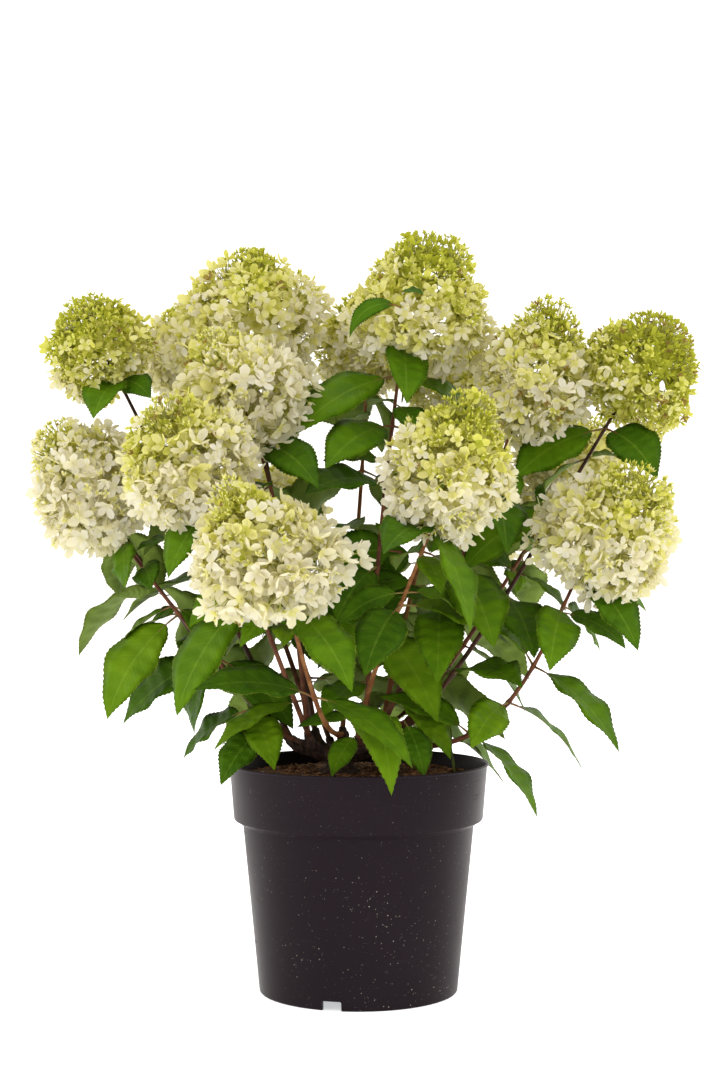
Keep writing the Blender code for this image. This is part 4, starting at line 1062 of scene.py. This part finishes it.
# Small leaves among the heads: foot, heading, droop, arch, length, roll, width and finish.
PEEKING = (
    ((0.036, -0.066, 0.636), 330, 8, 20, 0.026, 0, 1.0, 1),
    ((0.038, -0.072, 0.622), 208, 34, 50, 0.068, -45, 0.50, 1),
    ((0.040, 0.030, 0.404), 200, 12, 20, 0.088, -50, 1.1, 1),
    ((0.063, 0.030, 0.372), 185, 20, 20, 0.095, -50, 1.1, 1),
    ((-0.100, -0.085, 0.364), 255, 60, 20, 0.030, 0, 1.0, 3),
)
BOX_GAP = 0.0004  # how far every leaf stays inside the box of the solids
BLADE_STEPS = 48
BLADE_THICKNESS = 0.00045
TOOTH = 0.00085
ACROSS = (-1.0, -0.58, 0.0, 0.58, 1.0)
RIPPLES = 2.6  # waves along the rim
RIPPLE_HEIGHTS = (0.06, 0.15)
RIM_CURLS = (-0.05, 0.35)
SIDE_VEINS = 7.5  # between foot and tip
QUILTING = 0.035
STALK_SIDES = 6
STALK_RADII = (1.25, 0.85, 0.80, 0.60, 0.30)  # in PETIOLE_RADIUS, from foot to blade
FULL_STALK = 0.09  # the leaf length from which the stalk is not thinner
UNDER, STALK, YELLOW = 4, 5, 3  # places in the list of finishes
# Three greens, each dark and light, dealt out at random. The second, the darkest, is also painted shade
# on the leaves in the heads' shade.
LEAF_GREENS = (
    ((0.049, 0.120, 0.0025, 1), (0.078, 0.166, 0.0035, 1)),
    ((0.027, 0.078, 0.0025, 1), (0.048, 0.117, 0.0035, 1)),
    ((0.077, 0.162, 0.0035, 1), (0.110, 0.208, 0.005, 1)),
)
LEAF_RIM = (0.24, 0.32, 0.03, 1)
VEIN = (0.20, 0.32, 0.035, 1)
UNDERSIDE = ((0.110, 0.165, 0.026, 1), (0.165, 0.235, 0.045, 1))
YELLOWED = ((0.55, 0.38, 0.02, 1), (0.66, 0.52, 0.05, 1))
PETIOLE = ((0.16, 0.055, 0.035, 1), (0.20, 0.17, 0.05, 1))


def leaf_blade(leaf, chance, slimming=1.0):
    """Points and uv of one leaf: an upper and an under skin that meet at the toothed rim."""
    foot, length, roll = leaf[0], leaf[4], leaf[5]
    line = leaf_line(*leaf[:5])
    wave, wave_turn = chance.uniform(*RIPPLE_HEIGHTS), chance.uniform(0, math.tau)
    curl = chance.uniform(*RIM_CURLS)
    shares = np.linspace(PETIOLE_SHARE, 1, BLADE_STEPS)
    grid = np.arange(LEAF_STEPS + 1) / LEAF_STEPS
    rows = np.array([(*place, *way, *upper_way(foot, way, roll)) for place, way in line])
    rows = np.stack([np.interp(shares, grid, column) for column in rows.T], 1)
    mid, way, upper = rows[:, :3], units_of(rows[:, 3:6]), rows[:, 6:]
    upper = units_of(upper - way * (upper * way).sum(1)[:, None])
    side = np.cross(way, upper)
    blade = np.clip((shares - PETIOLE_SHARE) / (1 - PETIOLE_SHARE), 0, 1)
    half = np.sin(np.pi * blade**0.80) ** 0.85
    half *= 1 - 0.40 * np.clip((blade - 0.60) / 0.40, 0, 1) ** 1.5
    half = half * length * LEAF_SHAPE / 2 * slimming
    tooth = np.where(np.arange(BLADE_STEPS) % 2, TOOTH, -TOOTH * 0.4) * np.clip(half / 0.006, 0, 1)
    layers = []
    for across in ACROSS:
        rim = abs(across) == 1.0
        reach = half + (tooth if rim else 0)
        ripple = wave * np.sin(math.tau * RIPPLES * blade + wave_turn + across) * half * across**2
        lift = half * (LEAF_FOLD * abs(across) ** 0.9 - curl * abs(across) ** 3 * 0.5) + ripple
        if across and not rim:
            lift -= QUILTING * half * np.cos(math.tau * SIDE_VEINS * (blade + 0.10 * abs(across)))
        layers.append(mid + side * (across * reach)[:, None] + upper * lift[:, None])
    top = np.stack(layers, 1)
    under = top[:, 1:4] - upper[:, None] * BLADE_THICKNESS
    points = np.concatenate([top.reshape(-1, 3), under.reshape(-1, 3)])
    return points, [((a + 1) / 2, b) for row in (ACROSS, ACROSS[1:4]) for b in blade for a in row]


def blade_faces():
    """Faces and skins (0 upper, 1 under) of one blade. The under skin shares the points of the rim."""
    faces, skins, below = [], [], BLADE_STEPS * 5
    upper = [[k * 5 + i for i in range(5)] for k in range(BLADE_STEPS)]
    under = [[row[0], *(below + k * 3 + j for j in range(3)), row[4]] for k, row in enumerate(upper)]
    for k in range(BLADE_STEPS - 1):
        for i in range(4):
            faces.append((upper[k][i], upper[k][i + 1], upper[k + 1][i + 1], upper[k + 1][i]))
            faces.append((under[k][i], under[k + 1][i], under[k + 1][i + 1], under[k][i + 1]))
            skins += [0, 1]
    foot, tip = (tuple(upper[k] + under[k][3:0:-1]) for k in (0, -1))
    return faces + [foot, tip[::-1]], skins + [0, 0]


one_blade, one_skins = blade_faces()


def leaf_piece(rows, look):
    """Points, faces, slots and uv of many leaves, each a blade and its stalk."""
    points, faces, slots, uv = [], [], [], []
    for leaf, slimming, green in rows:
        blade, blade_uv = leaf_blade(leaf, look, slimming)
        start = len(points)
        points += blade.tolist()
        uv += blade_uv
        faces += [tuple(start + i for i in face) for face in one_blade]
        slots += [green if skin == 0 or green == YELLOW else UNDER for skin in one_skins]
        a, b, c, d = (place for place, _ in leaf_line(*leaf[:5])[:4])
        stalk = [a, a.lerp(b, 0.5), b, b.lerp(c, 0.6), c.lerp(d, 0.6)]
        thick = PETIOLE_RADIUS * min(1.0, leaf[4] / FULL_STALK)
        rings = tube_rings(stalk, [thick * radius for radius in STALK_RADII], STALK_SIDES)
        stalk_faces = ring_faces(len(stalk), STALK_SIDES, len(points))
        points += rings.reshape(-1, 3).tolist()
        uv += [(0.5, 0.0)] * rings[..., 0].size
        faces += stalk_faces
        slots += [STALK] * len(stalk_faces)
    inside = np.array(box_low) + BOX_GAP, np.array(box_high) - BOX_GAP
    return np.clip(points, *inside), faces, slots, uv


look = random.Random("leaf looks")
pair_rows, small_rows = [], []
for number, leaf in enumerate(leaves):
    foot, heading, droop, arch, length, roll = leaf
    turn, fall, own_roll, slimming, *bend = OWN_WAYS.get(number, USUAL_WAY)
    arch, length = bend or (arch, length)
    green = look.choice((0, 0, 0, 1, 1, 2))
    leaf = foot, heading + turn, droop + fall, arch, length, roll + own_roll
    rows = pair_rows if number < pair_count else small_rows
    # A leaf in the heads' shade takes the darkest green: painted shade.
    rows.append((leaf, slimming, 1 if number in PAINTED_SHADE_LEAVES else green))
small_rows += [((Vector(foot), *way), slimming, green) for foot, *way, slimming, green in PEEKING]

leaf_finishes = []
for name, colours, dull in (
    *[(f"leaf green {k + 1}", greens, 0.42) for k, greens in enumerate(LEAF_GREENS)],
    ("leaf yellowed", YELLOWED, 0.5),
    ("leaf underside", UNDERSIDE, 0.62),
    ("leaf stalk", PETIOLE, 0.5),
):
    finish, place = new_finish(
        name, colours[0], dull, Specular_IOR_Level=0.13, Specular_Tint=(0.85, 1.0, 0.25, 1))
    mottle = place.noise(45.0, 4.0).step(0.30, 0.70)
    if name == "leaf stalk":
        feed(finish, "Base Color", mottle.tint(*colours))
    else:
        blade = place.node("UVMap", {"uv_map": "uv"}, {})
        off_rib = place.maths("ABSOLUTE", blade.along(0) - 0.5) * 2.0
        fan = place.maths("PINGPONG", (blade.along(1) - off_rib * 0.16) * 8.0, 0.5)
        side_veins = fan.step(0.07, 0.0) * off_rib.step(1.0, 0.7)
        midrib = off_rib.step(0.075, 0.02)
        rim = off_rib.step(0.955, 0.99)
        strength = 0.25 if name == "leaf underside" else 0.10
        vein = YELLOWED[1] if name == "leaf yellowed" else VEIN
        veined = (midrib * 0.24 + side_veins * strength).tint(mottle.tint(*colours), vein)
        feed(finish, "Base Color", (rim * 0.7).tint(veined, LEAF_RIM))
        feed(finish, "Roughness", mottle * 0.12 + dull)
        relief(finish, fan * 1.3 - side_veins * 0.3 + place.noise(420.0, 3.0) * 0.35, 0.0007, 0.6)
    leaf_finishes.append(finish)
for name, rows in (("leaves", pair_rows), ("small_leaves", small_rows)):
    points, faces, slots, uv = leaf_piece(rows, look)
    foliage = joined(name, points, faces, leaf_finishes, slots, uv)
    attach(foliage, "root")
    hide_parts(*[stem.name for stem in stems])


# ---------------------------------------------------------------- flower heads
# Cone-shaped panicles of papery four-sepalled florets on thin stalks: wide open and cream below, small,
# cupped and lime green above, and spiky unopened ones at the tip. Branches spread from the cane inside.

# How a head has grown. unripe: from 0, all cream, to 1, all lime. peak: how much narrower its top is
# than its shoulders. knob: how much slimmer it is above its lowest branches, under a blunt tip. flare:
# how much wider its foot is. lean: how far its foot stands to the right of its tip, in half widths.
# nudge: how far its florets stand to the right of its middle and above it. tan: how many of its small
# florets have dried.
USUAL_HEAD = dict(unripe=0.38, peak=0.12, knob=0.0, flare=0.08, lean=0.0, nudge=(0.0, 0.0), tan=0.04)
OWN_HEADS = {
    "top_centre": dict(unripe=0.70, peak=0.0, knob=0.18, flare=0.30, nudge=(0.010, 0.0)),
    "upper_left": dict(unripe=0.54, peak=0.55, flare=0.16, lean=-0.14, nudge=(0.0, 0.004)),
    "middle_left": dict(unripe=0.21, peak=0.26, tan=0.07),
    "front_left": dict(unripe=0.32, peak=0.20),
    "far_left": dict(unripe=0.12, nudge=(0.0, 0.008)),
    "far_left_top": dict(unripe=0.86, peak=0.05, knob=0.08, flare=0.0),
    "front_low": dict(
        unripe=0.24, peak=0.50, knob=0.10, flare=0.30, lean=0.15, nudge=(-0.0085, 0.004)),
    "front_centre": dict(unripe=0.44, peak=0.20, flare=-0.06, lean=-0.05),
    "upper_right": dict(unripe=0.48, peak=0.26, knob=0.10, nudge=(0.009, 0.0), tan=0.07),
    "far_right_top": dict(unripe=1.0, peak=0.05, flare=0.0, tan=0.15),
    "far_right": dict(unripe=0.34, flare=0.14, lean=-0.06, nudge=(0.008, 0.0)),
    "back_right_top": dict(unripe=0.55),
    "back_centre_top": dict(unripe=0.50),
}
OPEN_RADIUS = 0.0132  # a wide open floret's, from its middle to a sepal's tip
CUPPED_RADIUS = 0.0074
SPIKY_RADIUS = 0.0060
CLOSENESS = 0.49
THROWS = 9000
BRANCHES = 38
BRANCH_REACHES = (0.84, 1.04)
HUB_REACH = 0.70  # where a branch ends and its floret stalks begin
BULGE = 2.4  # how far florets fall back from the middle of their branch
INNER_FLORETS = 190
INNER_REACH = (0.62, 0.80)
INNER_WIDER = 0.0018
# How much greener the inner florets are: partly their own unripe colour, partly painted shade deep in
# the head.
INNER_GREEN_AND_SHADE = 0.26
OPEN_FROM = 0.0078  # the radius above which a floret is open, give or take a sixth
OPEN_UNRULY, SMALL_UNRULY = 0.75, 0.40  # how far florets turn from the head's skin
UPWARD = 0.20  # and how far up
ROOM_IN_BOX = 1.3  # in floret radii
STALK_RADIUS = 0.00055
STEM_RADII = (0.0019, 0.0013, 0.0006)  # of the cane's end inside the head
BRANCH_RADII = (0.0009, 0.0008, 0.0006)
SEPAL_LONG = (0.0, 0.34, 0.70, 1.0)
SEPAL_HALF = (0.08, 0.30, 0.37, 0.14)
# A small floret's sepal: share of its length, half width, and how far out and up from its straight line.
SMALL_SEPAL = ((0.05, 0.10, 0.0, 0.0), (0.58, 0.22, 0.10, -0.06), (1.05, 0.0, 0.0, 0.0))
SEPALS = (
    ("sepals white", (0.835, 0.813, 0.745, 1), (0.81, 0.78, 0.65, 1)),
    ("sepals cream", (0.83, 0.805, 0.645, 1), (0.79, 0.76, 0.54, 1)),
    ("sepals pale lime", (0.82, 0.80, 0.39, 1), (0.765, 0.745, 0.295, 1)),
    ("sepals lime", (0.745, 0.74, 0.20, 1), (0.665, 0.665, 0.14, 1)),
    ("sepals green", (0.53, 0.555, 0.065, 1), (0.42, 0.445, 0.038, 1)),
    ("sepals tan", (0.40, 0.305, 0.085, 1), (0.29, 0.20, 0.055, 1)),
    ("floret stalks", (0.66, 0.65, 0.22, 1), (0.53, 0.54, 0.12, 1)),
)
SEEN_THROUGH = 0.46  # the share of light that a thin sepal lets through
SHADE_STEPS = (0.16, 0.36, 0.58, 0.84)  # the greenness at which each finish gives way to the next
GREENEST, TANNED, STALKS = 4, 5, 6  # places in the list of finishes
# Each open shape's cup and fold, and how often it is drawn, and then each cupped shape's lift.
OPEN_FORMS = ((0.10, 0.40), (0.30, 0.55), (0.52, 0.60), (-0.15, 0.40), (0.80, 0.65), (-0.35, 0.45))
OPEN_CHANCES = (0.16, 0.22, 0.24, 0.10, 0.20, 0.08)
CUPPED_FORMS = (0.60, 0.85, 1.05, 1.20, 0.95)


def swung(turn, reach, side, height):
    """A point this far out and to the side, turned about the floret's middle."""
    cosine, sine = math.cos(turn), math.sin(turn)
    return reach * cosine - side * sine, reach * sine + side * cosine, height


def add_eye(points, faces, radius, low, high):
    """A small four-sided peak in the middle of a floret."""
    start = len(points)
    points += [(radius, 0, low), (0, radius, low), (-radius, 0, low), (0, -radius, low), (0, 0, high)]
    faces += [(start + i, start + (i + 1) % 4, start + 4) for i in range(4)]


def sepal_points(turn, size, cup, fold):
    """One sepal: egg-shaped, hollowed along its middle, and turned up or back towards its tip."""
    points = []
    for long, half in zip(SEPAL_LONG, SEPAL_HALF):
        for across in (-1, 0, 1):
            reach, lift = long * size, cup * long * long * size + 0.04 * long
            if across:
                reach -= 0.05 * size if long == 1.0 else 0.0
                lift += fold * half * size
            points.append(swung(turn, reach, across * half * size, lift))
    return points


def open_floret(cup, fold, chance):
    """Points, faces and greener faces of one open floret: two pairs of sepals, one over the other."""
    points, faces, greener = [], [], []
    for k in range(4):
        start = len(points)
        turn = k * math.pi / 2 + chance.gauss(0, 0.13)
        size = 1.0 if k % 2 else chance.uniform(0.82, 0.96)
        lifted = 0.035 if k % 2 else 0.0
        sepal = sepal_points(turn, size, cup + chance.gauss(0, 0.07), fold * chance.uniform(0.4, 1.3))
        points += [(x, y, z + lifted) for x, y, z in sepal]
        faces += [(a, a + 1, a + 4, a + 3) for a in (start + i for i in (0, 1, 3, 4, 6, 7))]
        greener += [True, True, False, False, False, False]
    add_eye(points, faces, 0.07, 0.06, 0.13)
    return np.array(points), faces, np.array(greener + [True] * 4)


def cupped_floret(lift, chance):
    """Points, faces and greener faces of one small floret: four sepals that stand up round its bud."""
    points, faces, greener = [], [], []
    for k in range(4):
        start, turn = len(points), k * math.pi / 2 + chance.gauss(0, 0.16)
        size, rise = chance.uniform(0.85, 1.05), lift + chance.gauss(0, 0.12)
        for long, half, out, up in SMALL_SEPAL:
            for across in (-1, 1) if half else (0,):
                reach, height = long * math.cos(rise) + out, long * math.sin(rise) + up
                points.append(swung(turn, size * reach, across * half * size, size * height))
        faces += [(start, start + 1, start + 3, start + 2), (start + 2, start + 3, start + 4)]
        greener += [True, False]
    add_eye(points, faces, 0.2, 0.08, 0.42)
    return np.array(points), faces, np.array(greener + [True] * 4)


def floret_radius(tall, unripe, luck):
    """A floret's radius by its height over the head's middle, from -1 to 1, and by luck, from 0 to 1."""
    turn_over = 1.05 - 1.55 * unripe
    closed = 0.28 + 0.72 / (1 + math.exp(-(tall - turn_over) * 4.0))
    tip = max(0.0, min(1.0, (tall - 0.66 + 0.25 * unripe) / 0.30))
    if luck < closed:
        small = CUPPED_RADIUS * (1 - tip) + SPIKY_RADIUS * tip
        return small * (0.80 + 0.45 * luck / closed)
    opened = 0.80 + 0.30 * (luck - closed) / (1 - closed)
    return OPEN_RADIUS * (1 - 0.36 * unripe) * (1 - 0.30 * tip) * opened


def greenness(units, unripe):
    """How green the florets are by their place on the head, from 0, white, to 1, green."""
    return unripe * 0.64 + (units[:, 2] * 0.5 + 0.5) ** 2.2 * (0.52 + 0.42 * unripe) - 0.25


def facing_turns(normals, spins):
    """Turn matrices that stand each floret on its normal, spun about it."""
    normals = units_of(normals)
    helper = np.where(np.abs(normals[:, 2:]) < 0.9, [[0.0, 0.0, 1.0]], [[1.0, 0.0, 0.0]])
    across = units_of(np.cross(helper, normals))
    along = np.cross(normals, across)
    first = across * np.cos(spins)[:, None] + along * np.sin(spins)[:, None]
    return np.stack([first, np.cross(normals, first), normals], 2)


shapes_chance = random.Random("floret shapes")
shapes = [open_floret(cup, fold, shapes_chance) for cup, fold in OPEN_FORMS]
shapes += [cupped_floret(lift, shapes_chance) for lift in CUPPED_FORMS]

sepal_finishes = []
for name, light, deep in SEPALS:
    finish, place = new_finish(name, light, 0.7, Specular_IOR_Level=0.10)
    papery = place.noise(130.0, 4.0)
    feed(finish, "Base Color", papery.step(0.34, 0.66).tint(light, deep))
    relief(finish, place.noise(700.0, 2.0), 0.0003, 0.5)
    tree = finish.node_tree
    skin = Shade(tree, tree.nodes["Principled BSDF"].outputs[0])
    red, green, blue, _ = deep
    thin = place.node("BsdfTranslucent", {}, {"Color": (red, green * 0.97, blue * 0.66, 1)})
    mixed = place.node("MixShader", {}, {0: SEEN_THROUGH, 1: skin, 2: thin})
    tree.links.new(mixed.socket, tree.nodes["Material Output"].inputs["Surface"])
    sepal_finishes.append(finish)


def stalks(lines, thick, sides, start):
    """Points and faces of many thin stalks, each over a line of three points."""
    turns = facing_turns(lines[:, 2] - lines[:, 0], np.zeros(len(lines)))
    angles = np.linspace(0, math.tau, sides, endpoint=False)
    ring = np.stack([np.cos(angles), np.sin(angles)], 1)
    rings = np.einsum("nij,sj->nsi", turns[:, :, :2], ring)
    points = lines[:, :, None] + rings[:, None] * np.array(thick)[None, :, None, None]
    starts = [start + n * 3 * sides for n in range(len(lines))]
    return points.reshape(-1, 3), [face for first in starts for face in ring_faces(3, sides, first)]


def bloom(name, head, unripe, peak, knob, flare, lean, nudge, tan):
    """Points, faces and slots of one flower head: its branches, floret stalks and florets."""
    chance = np.random.default_rng([SEED, sum(map(ord, name))])
    half = np.array([head.width, head.width, head.height])
    turn = np.array(head.turn)
    centre = np.array(head.centre)

    def spot(units, scale):
        rise = units[:, 2]
        narrowing = 1 - HEAD_TAPER * rise - peak * np.clip(rise, 0, 1) ** 1.5
        blunt = 0.6 * np.clip((rise - 0.5) / 0.4, 0, 1)
        narrowing -= knob * (np.clip((rise + 0.65) / 0.70, 0, 1) - blunt)
        wide = half * np.stack([narrowing] * 2 + [np.ones(len(units))], 1)
        wide[:, :2] *= 1 + flare * np.clip(-rise, 0, 0.8)[:, None]
        places = centre + (units * wide * np.asarray(scale).reshape(-1, 1)) @ turn.T
        places[:, 0] += nudge[0] - lean * rise * head.width
        places[:, 2] += nudge[1]
        return places

    k = np.arange(BRANCHES)
    tall = 1 - (2 * k + 1) / BRANCHES
    wide, round_it = np.sqrt(1 - tall * tall), k * GOLDEN_ANGLE
    branch_units = np.stack([wide * np.cos(round_it), wide * np.sin(round_it), tall], 1)
    branch_units = units_of(branch_units + chance.normal(0, 0.09, branch_units.shape))
    branch_reach = chance.uniform(*BRANCH_REACHES, BRANCHES)
    branch_green = chance.normal(0, 0.09, BRANCHES)
    hubs = spot(branch_units, branch_reach * HUB_REACH)

    # Places are thrown on the head, and each that has room takes a floret.
    throws = units_of(chance.normal(0, 1, (THROWS, 3)))
    upper = chance.uniform(0, 1, THROWS) < 0.35 + 0.3 * unripe
    throws[upper, 2] = np.abs(throws[upper, 2]) * 1.6 + 0.15
    throws = units_of(throws)
    luck = chance.uniform(0, 1, THROWS)
    size = (head.width / FLORET_HEAD_WIDTH) ** 0.5
    thrown_radii = [floret_radius(rise, unripe, share) * size for rise, share in zip(throws[:, 2], luck)]
    thrown_owners = np.argmax(throws @ branch_units.T, 1)
    thrown_places = spot(throws, branch_reach[thrown_owners])
    taken = np.empty((THROWS, 4))
    kept = []
    for k, (place, radius) in enumerate(zip(thrown_places, thrown_radii)):
        count = len(kept)
        near = ((taken[:count, :3] - place) ** 2).sum(1) < (CLOSENESS * (taken[:count, 3] + radius)) ** 2
        if not near.any():
            taken[count] = (*place, radius)
            kept.append(k)
    units, owners, count = throws[kept], thrown_owners[kept], len(kept)
    radii = taken[:count, 3]
    edge = 1 - 0.15 * radii / head.width
    off_branch = 1 - (branch_units[owners] * units).sum(1)
    reach = branch_reach[owners] + 0.02 - BULGE * off_branch + chance.normal(0, 0.03, count)
    reach += 0.10 * np.clip((units[:, 2] - 0.80) / 0.15, 0, 1)
    reach = np.minimum(reach, 1.0) * edge
    falls = np.clip(-units[:, 2], 0, 1)
    places = spot(units, reach)
    places[:, 2] -= 0.10 * radii * falls
    normals = units_of((units / half) @ turn.T)
    unruly = np.where(radii > CUPPED_RADIUS, OPEN_UNRULY, SMALL_UNRULY)
    normals += chance.normal(0, 1, normals.shape) * unruly[:, None]
    normals[:, 2] += UPWARD
    green = greenness(units, unripe) + branch_green[owners] + chance.normal(0, 0.07, count)
    # Florets set back into the head are greener: partly their own colour, partly painted shade.
    green += 0.9 * np.clip(0.88 - reach, 0, 0.3)

    # More florets, a little wider, fill the head behind these.
    inner_units = units_of(chance.normal(0, 1, (INNER_FLORETS, 3)))
    luck = chance.uniform(0, 1, INNER_FLORETS)
    inner_radii = [
        floret_radius(rise, unripe, share) + INNER_WIDER for rise, share in zip(inner_units[:, 2], luck)
    ]
    inner = spot(inner_units, chance.uniform(*INNER_REACH, INNER_FLORETS))
    inner_normals = inner_units @ turn.T + chance.normal(0, 0.35, inner_units.shape)
    # Inner florets take greener finishes: partly their own colour, partly painted shade.
    inner_green = greenness(inner_units, unripe) + INNER_GREEN_AND_SHADE
    inner_green += chance.normal(0, 0.06, INNER_FLORETS)

    all_places = np.vstack([places, inner])
    all_radii = np.concatenate([radii, inner_radii])
    room = all_radii[:, None] * ROOM_IN_BOX
    all_places = np.clip(all_places, np.array(box_low) + room, np.array(box_high) - room)
    places = all_places[:count]
    total = count + INNER_FLORETS
    spins = chance.uniform(0, math.tau, total)
    turns = facing_turns(np.vstack([normals, inner_normals]), spins)
    shades = np.searchsorted(SHADE_STEPS, np.concatenate([green, inner_green]))
    shades[(chance.uniform(0, 1, total) < tan) & (all_radii < CUPPED_RADIUS)] = TANNED
    cupped = all_radii < OPEN_FROM * chance.uniform(0.85, 1.15, total)
    cupped_kinds = len(OPEN_FORMS) + chance.integers(0, len(CUPPED_FORMS), total)
    kinds = np.where(cupped, cupped_kinds, chance.choice(len(OPEN_FORMS), total, p=OPEN_CHANCES))
    points, faces, slots, start = [], [], [], 0
    for kind, (shape, shape_faces, greener) in enumerate(shapes):
        chosen = np.flatnonzero(kinds == kind)
        if not len(chosen):
            continue
        scaled = turns[chosen] * all_radii[chosen][:, None, None]
        made, made_faces = strewn(shape, shape_faces, scaled, all_places[chosen], start)
        points.append(made)
        faces += made_faces
        dealt = np.repeat(shades[chosen][:, None], len(shape_faces), 1)
        deeper = np.minimum(dealt + (1 if kind < len(OPEN_FORMS) else 2), GREENEST)
        dealt = np.where(greener & (dealt != TANNED), deeper, dealt)
        slots += dealt.ravel().tolist()
        start += len(made)

    # The cane's end, its branches, and a stalk from the end of a branch to each outer floret.
    root = centre - turn[:, 2] * head.height * (1 - PEDUNCLE_DEPTH) * 6
    top = centre + turn[:, 2] * head.height * 0.80
    along = np.clip((branch_units[:, 2:] + 0.65) / 1.9, 0.0, 0.92)
    leave = root + (top - root) * along
    ways = turns[:count, :, 2]
    own_hubs = hubs[owners]
    bends = own_hubs * 0.45 + places * 0.55 - ways * np.minimum(0.004, radii * 0.4)[:, None]
    raised = leave * 0.45 + hubs * 0.55 + np.array([0, 0, 0.004])
    stalk_radii = STALK_RADIUS * 1.2, STALK_RADIUS, STALK_RADIUS * 0.8
    for lines, thick, sides in (
        (np.array([[root, root * 0.4 + top * 0.6, top]]), STEM_RADII, 6),
        (np.stack([leave, raised, hubs], 1), BRANCH_RADII, 4),
        (np.stack([own_hubs, bends, places - ways * 0.0002], 1), stalk_radii, 3),
    ):
        made, made_faces = stalks(lines, thick, sides, start)
        points.append(made)
        faces += made_faces
        slots += [STALKS] * len(made_faces)
        start += len(made)
    return np.concatenate(points), faces, slots


for stem in stems:
    if stem.flowers:
        own = {**USUAL_HEAD, **OWN_HEADS.get(stem.plain_name, {})}
        points, faces, slots = bloom(stem.plain_name, stem.head, **own)
        panicle = joined("panicle_" + stem.plain_name, points, faces, sepal_finishes, slots)
        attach(panicle, "root")
        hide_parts(stem.name)


# ---------------------------------------------------------------- studio
# Not part of the object: a plain pale floor, soft light from large panels and a pale surround, and the
# camera, which stands level a little above the middle of the plant.

CAMERA_PLACE = (0.0014, -1.8, 0.404)
CAMERA_PITCH = 0.0063  # up from level, in radians
LENS = 64.73
FLOOR_TONE = (0.95, 0.96, 0.98, 1)
FLOOR_GLOW = 0.55
FLOOR_SIZE = 14
FLOOR_GAP = 0.0002  # under the pot
SURROUND_TONE = (1.0, 0.965, 0.92, 1)
SURROUND_STRENGTH = 1.45
# Each light panel: where it stands and where it points.
PANELS = {
    "key_panel": ((-0.9, -1.7, 2.0), (0, 0, 0.45)),
    "fill_panel": ((1.7, -0.6, 0.9), (0, 0, 0.35)),
    "side_panel": ((-1.7, -0.3, 0.8), (0, 0, 0.30)),
}
PANEL_SIZE = 0.9
PANEL_WATTS = 2.0

pick()
bpy.ops.mesh.primitive_plane_add(size=FLOOR_SIZE, location=(0, 0, -FLOOR_GAP))
floor = bpy.context.object
floor.name = "studio_floor"
pale, _ = new_finish(
    "pale floor", FLOOR_TONE, 0.8, Specular_IOR_Level=0.1,
    Emission_Color=FLOOR_TONE, Emission_Strength=FLOOR_GLOW)
floor.data.materials.append(pale)

world = bpy.data.worlds.new("pale surround")
world.use_nodes = True
background = world.node_tree.nodes["Background"]
background.inputs["Color"].default_value = SURROUND_TONE
background.inputs["Strength"].default_value = SURROUND_STRENGTH
bpy.context.scene.world = world

for name, (place, target) in PANELS.items():
    panel = bpy.data.lights.new(name, "AREA")
    panel.shape, panel.size, panel.energy = "SQUARE", PANEL_SIZE, PANEL_WATTS
    stand = bpy.data.objects.new(name, panel)
    stand.location = place
    stand.rotation_euler = (Vector(target) - Vector(place)).to_track_quat("-Z", "Y").to_euler()
    bpy.context.scene.collection.objects.link(stand)

lens = bpy.data.cameras.new("camera")
lens.sensor_fit, lens.sensor_height, lens.lens = "VERTICAL", 36, LENS
lens.clip_start = 0.05
camera = bpy.data.objects.new("camera", lens)
camera.location = CAMERA_PLACE
camera.rotation_euler = (math.pi / 2 + CAMERA_PITCH, 0, 0)
bpy.context.scene.collection.objects.link(camera)
bpy.context.scene.camera = camera
bpy.context.scene.view_settings.view_transform = "Standard"
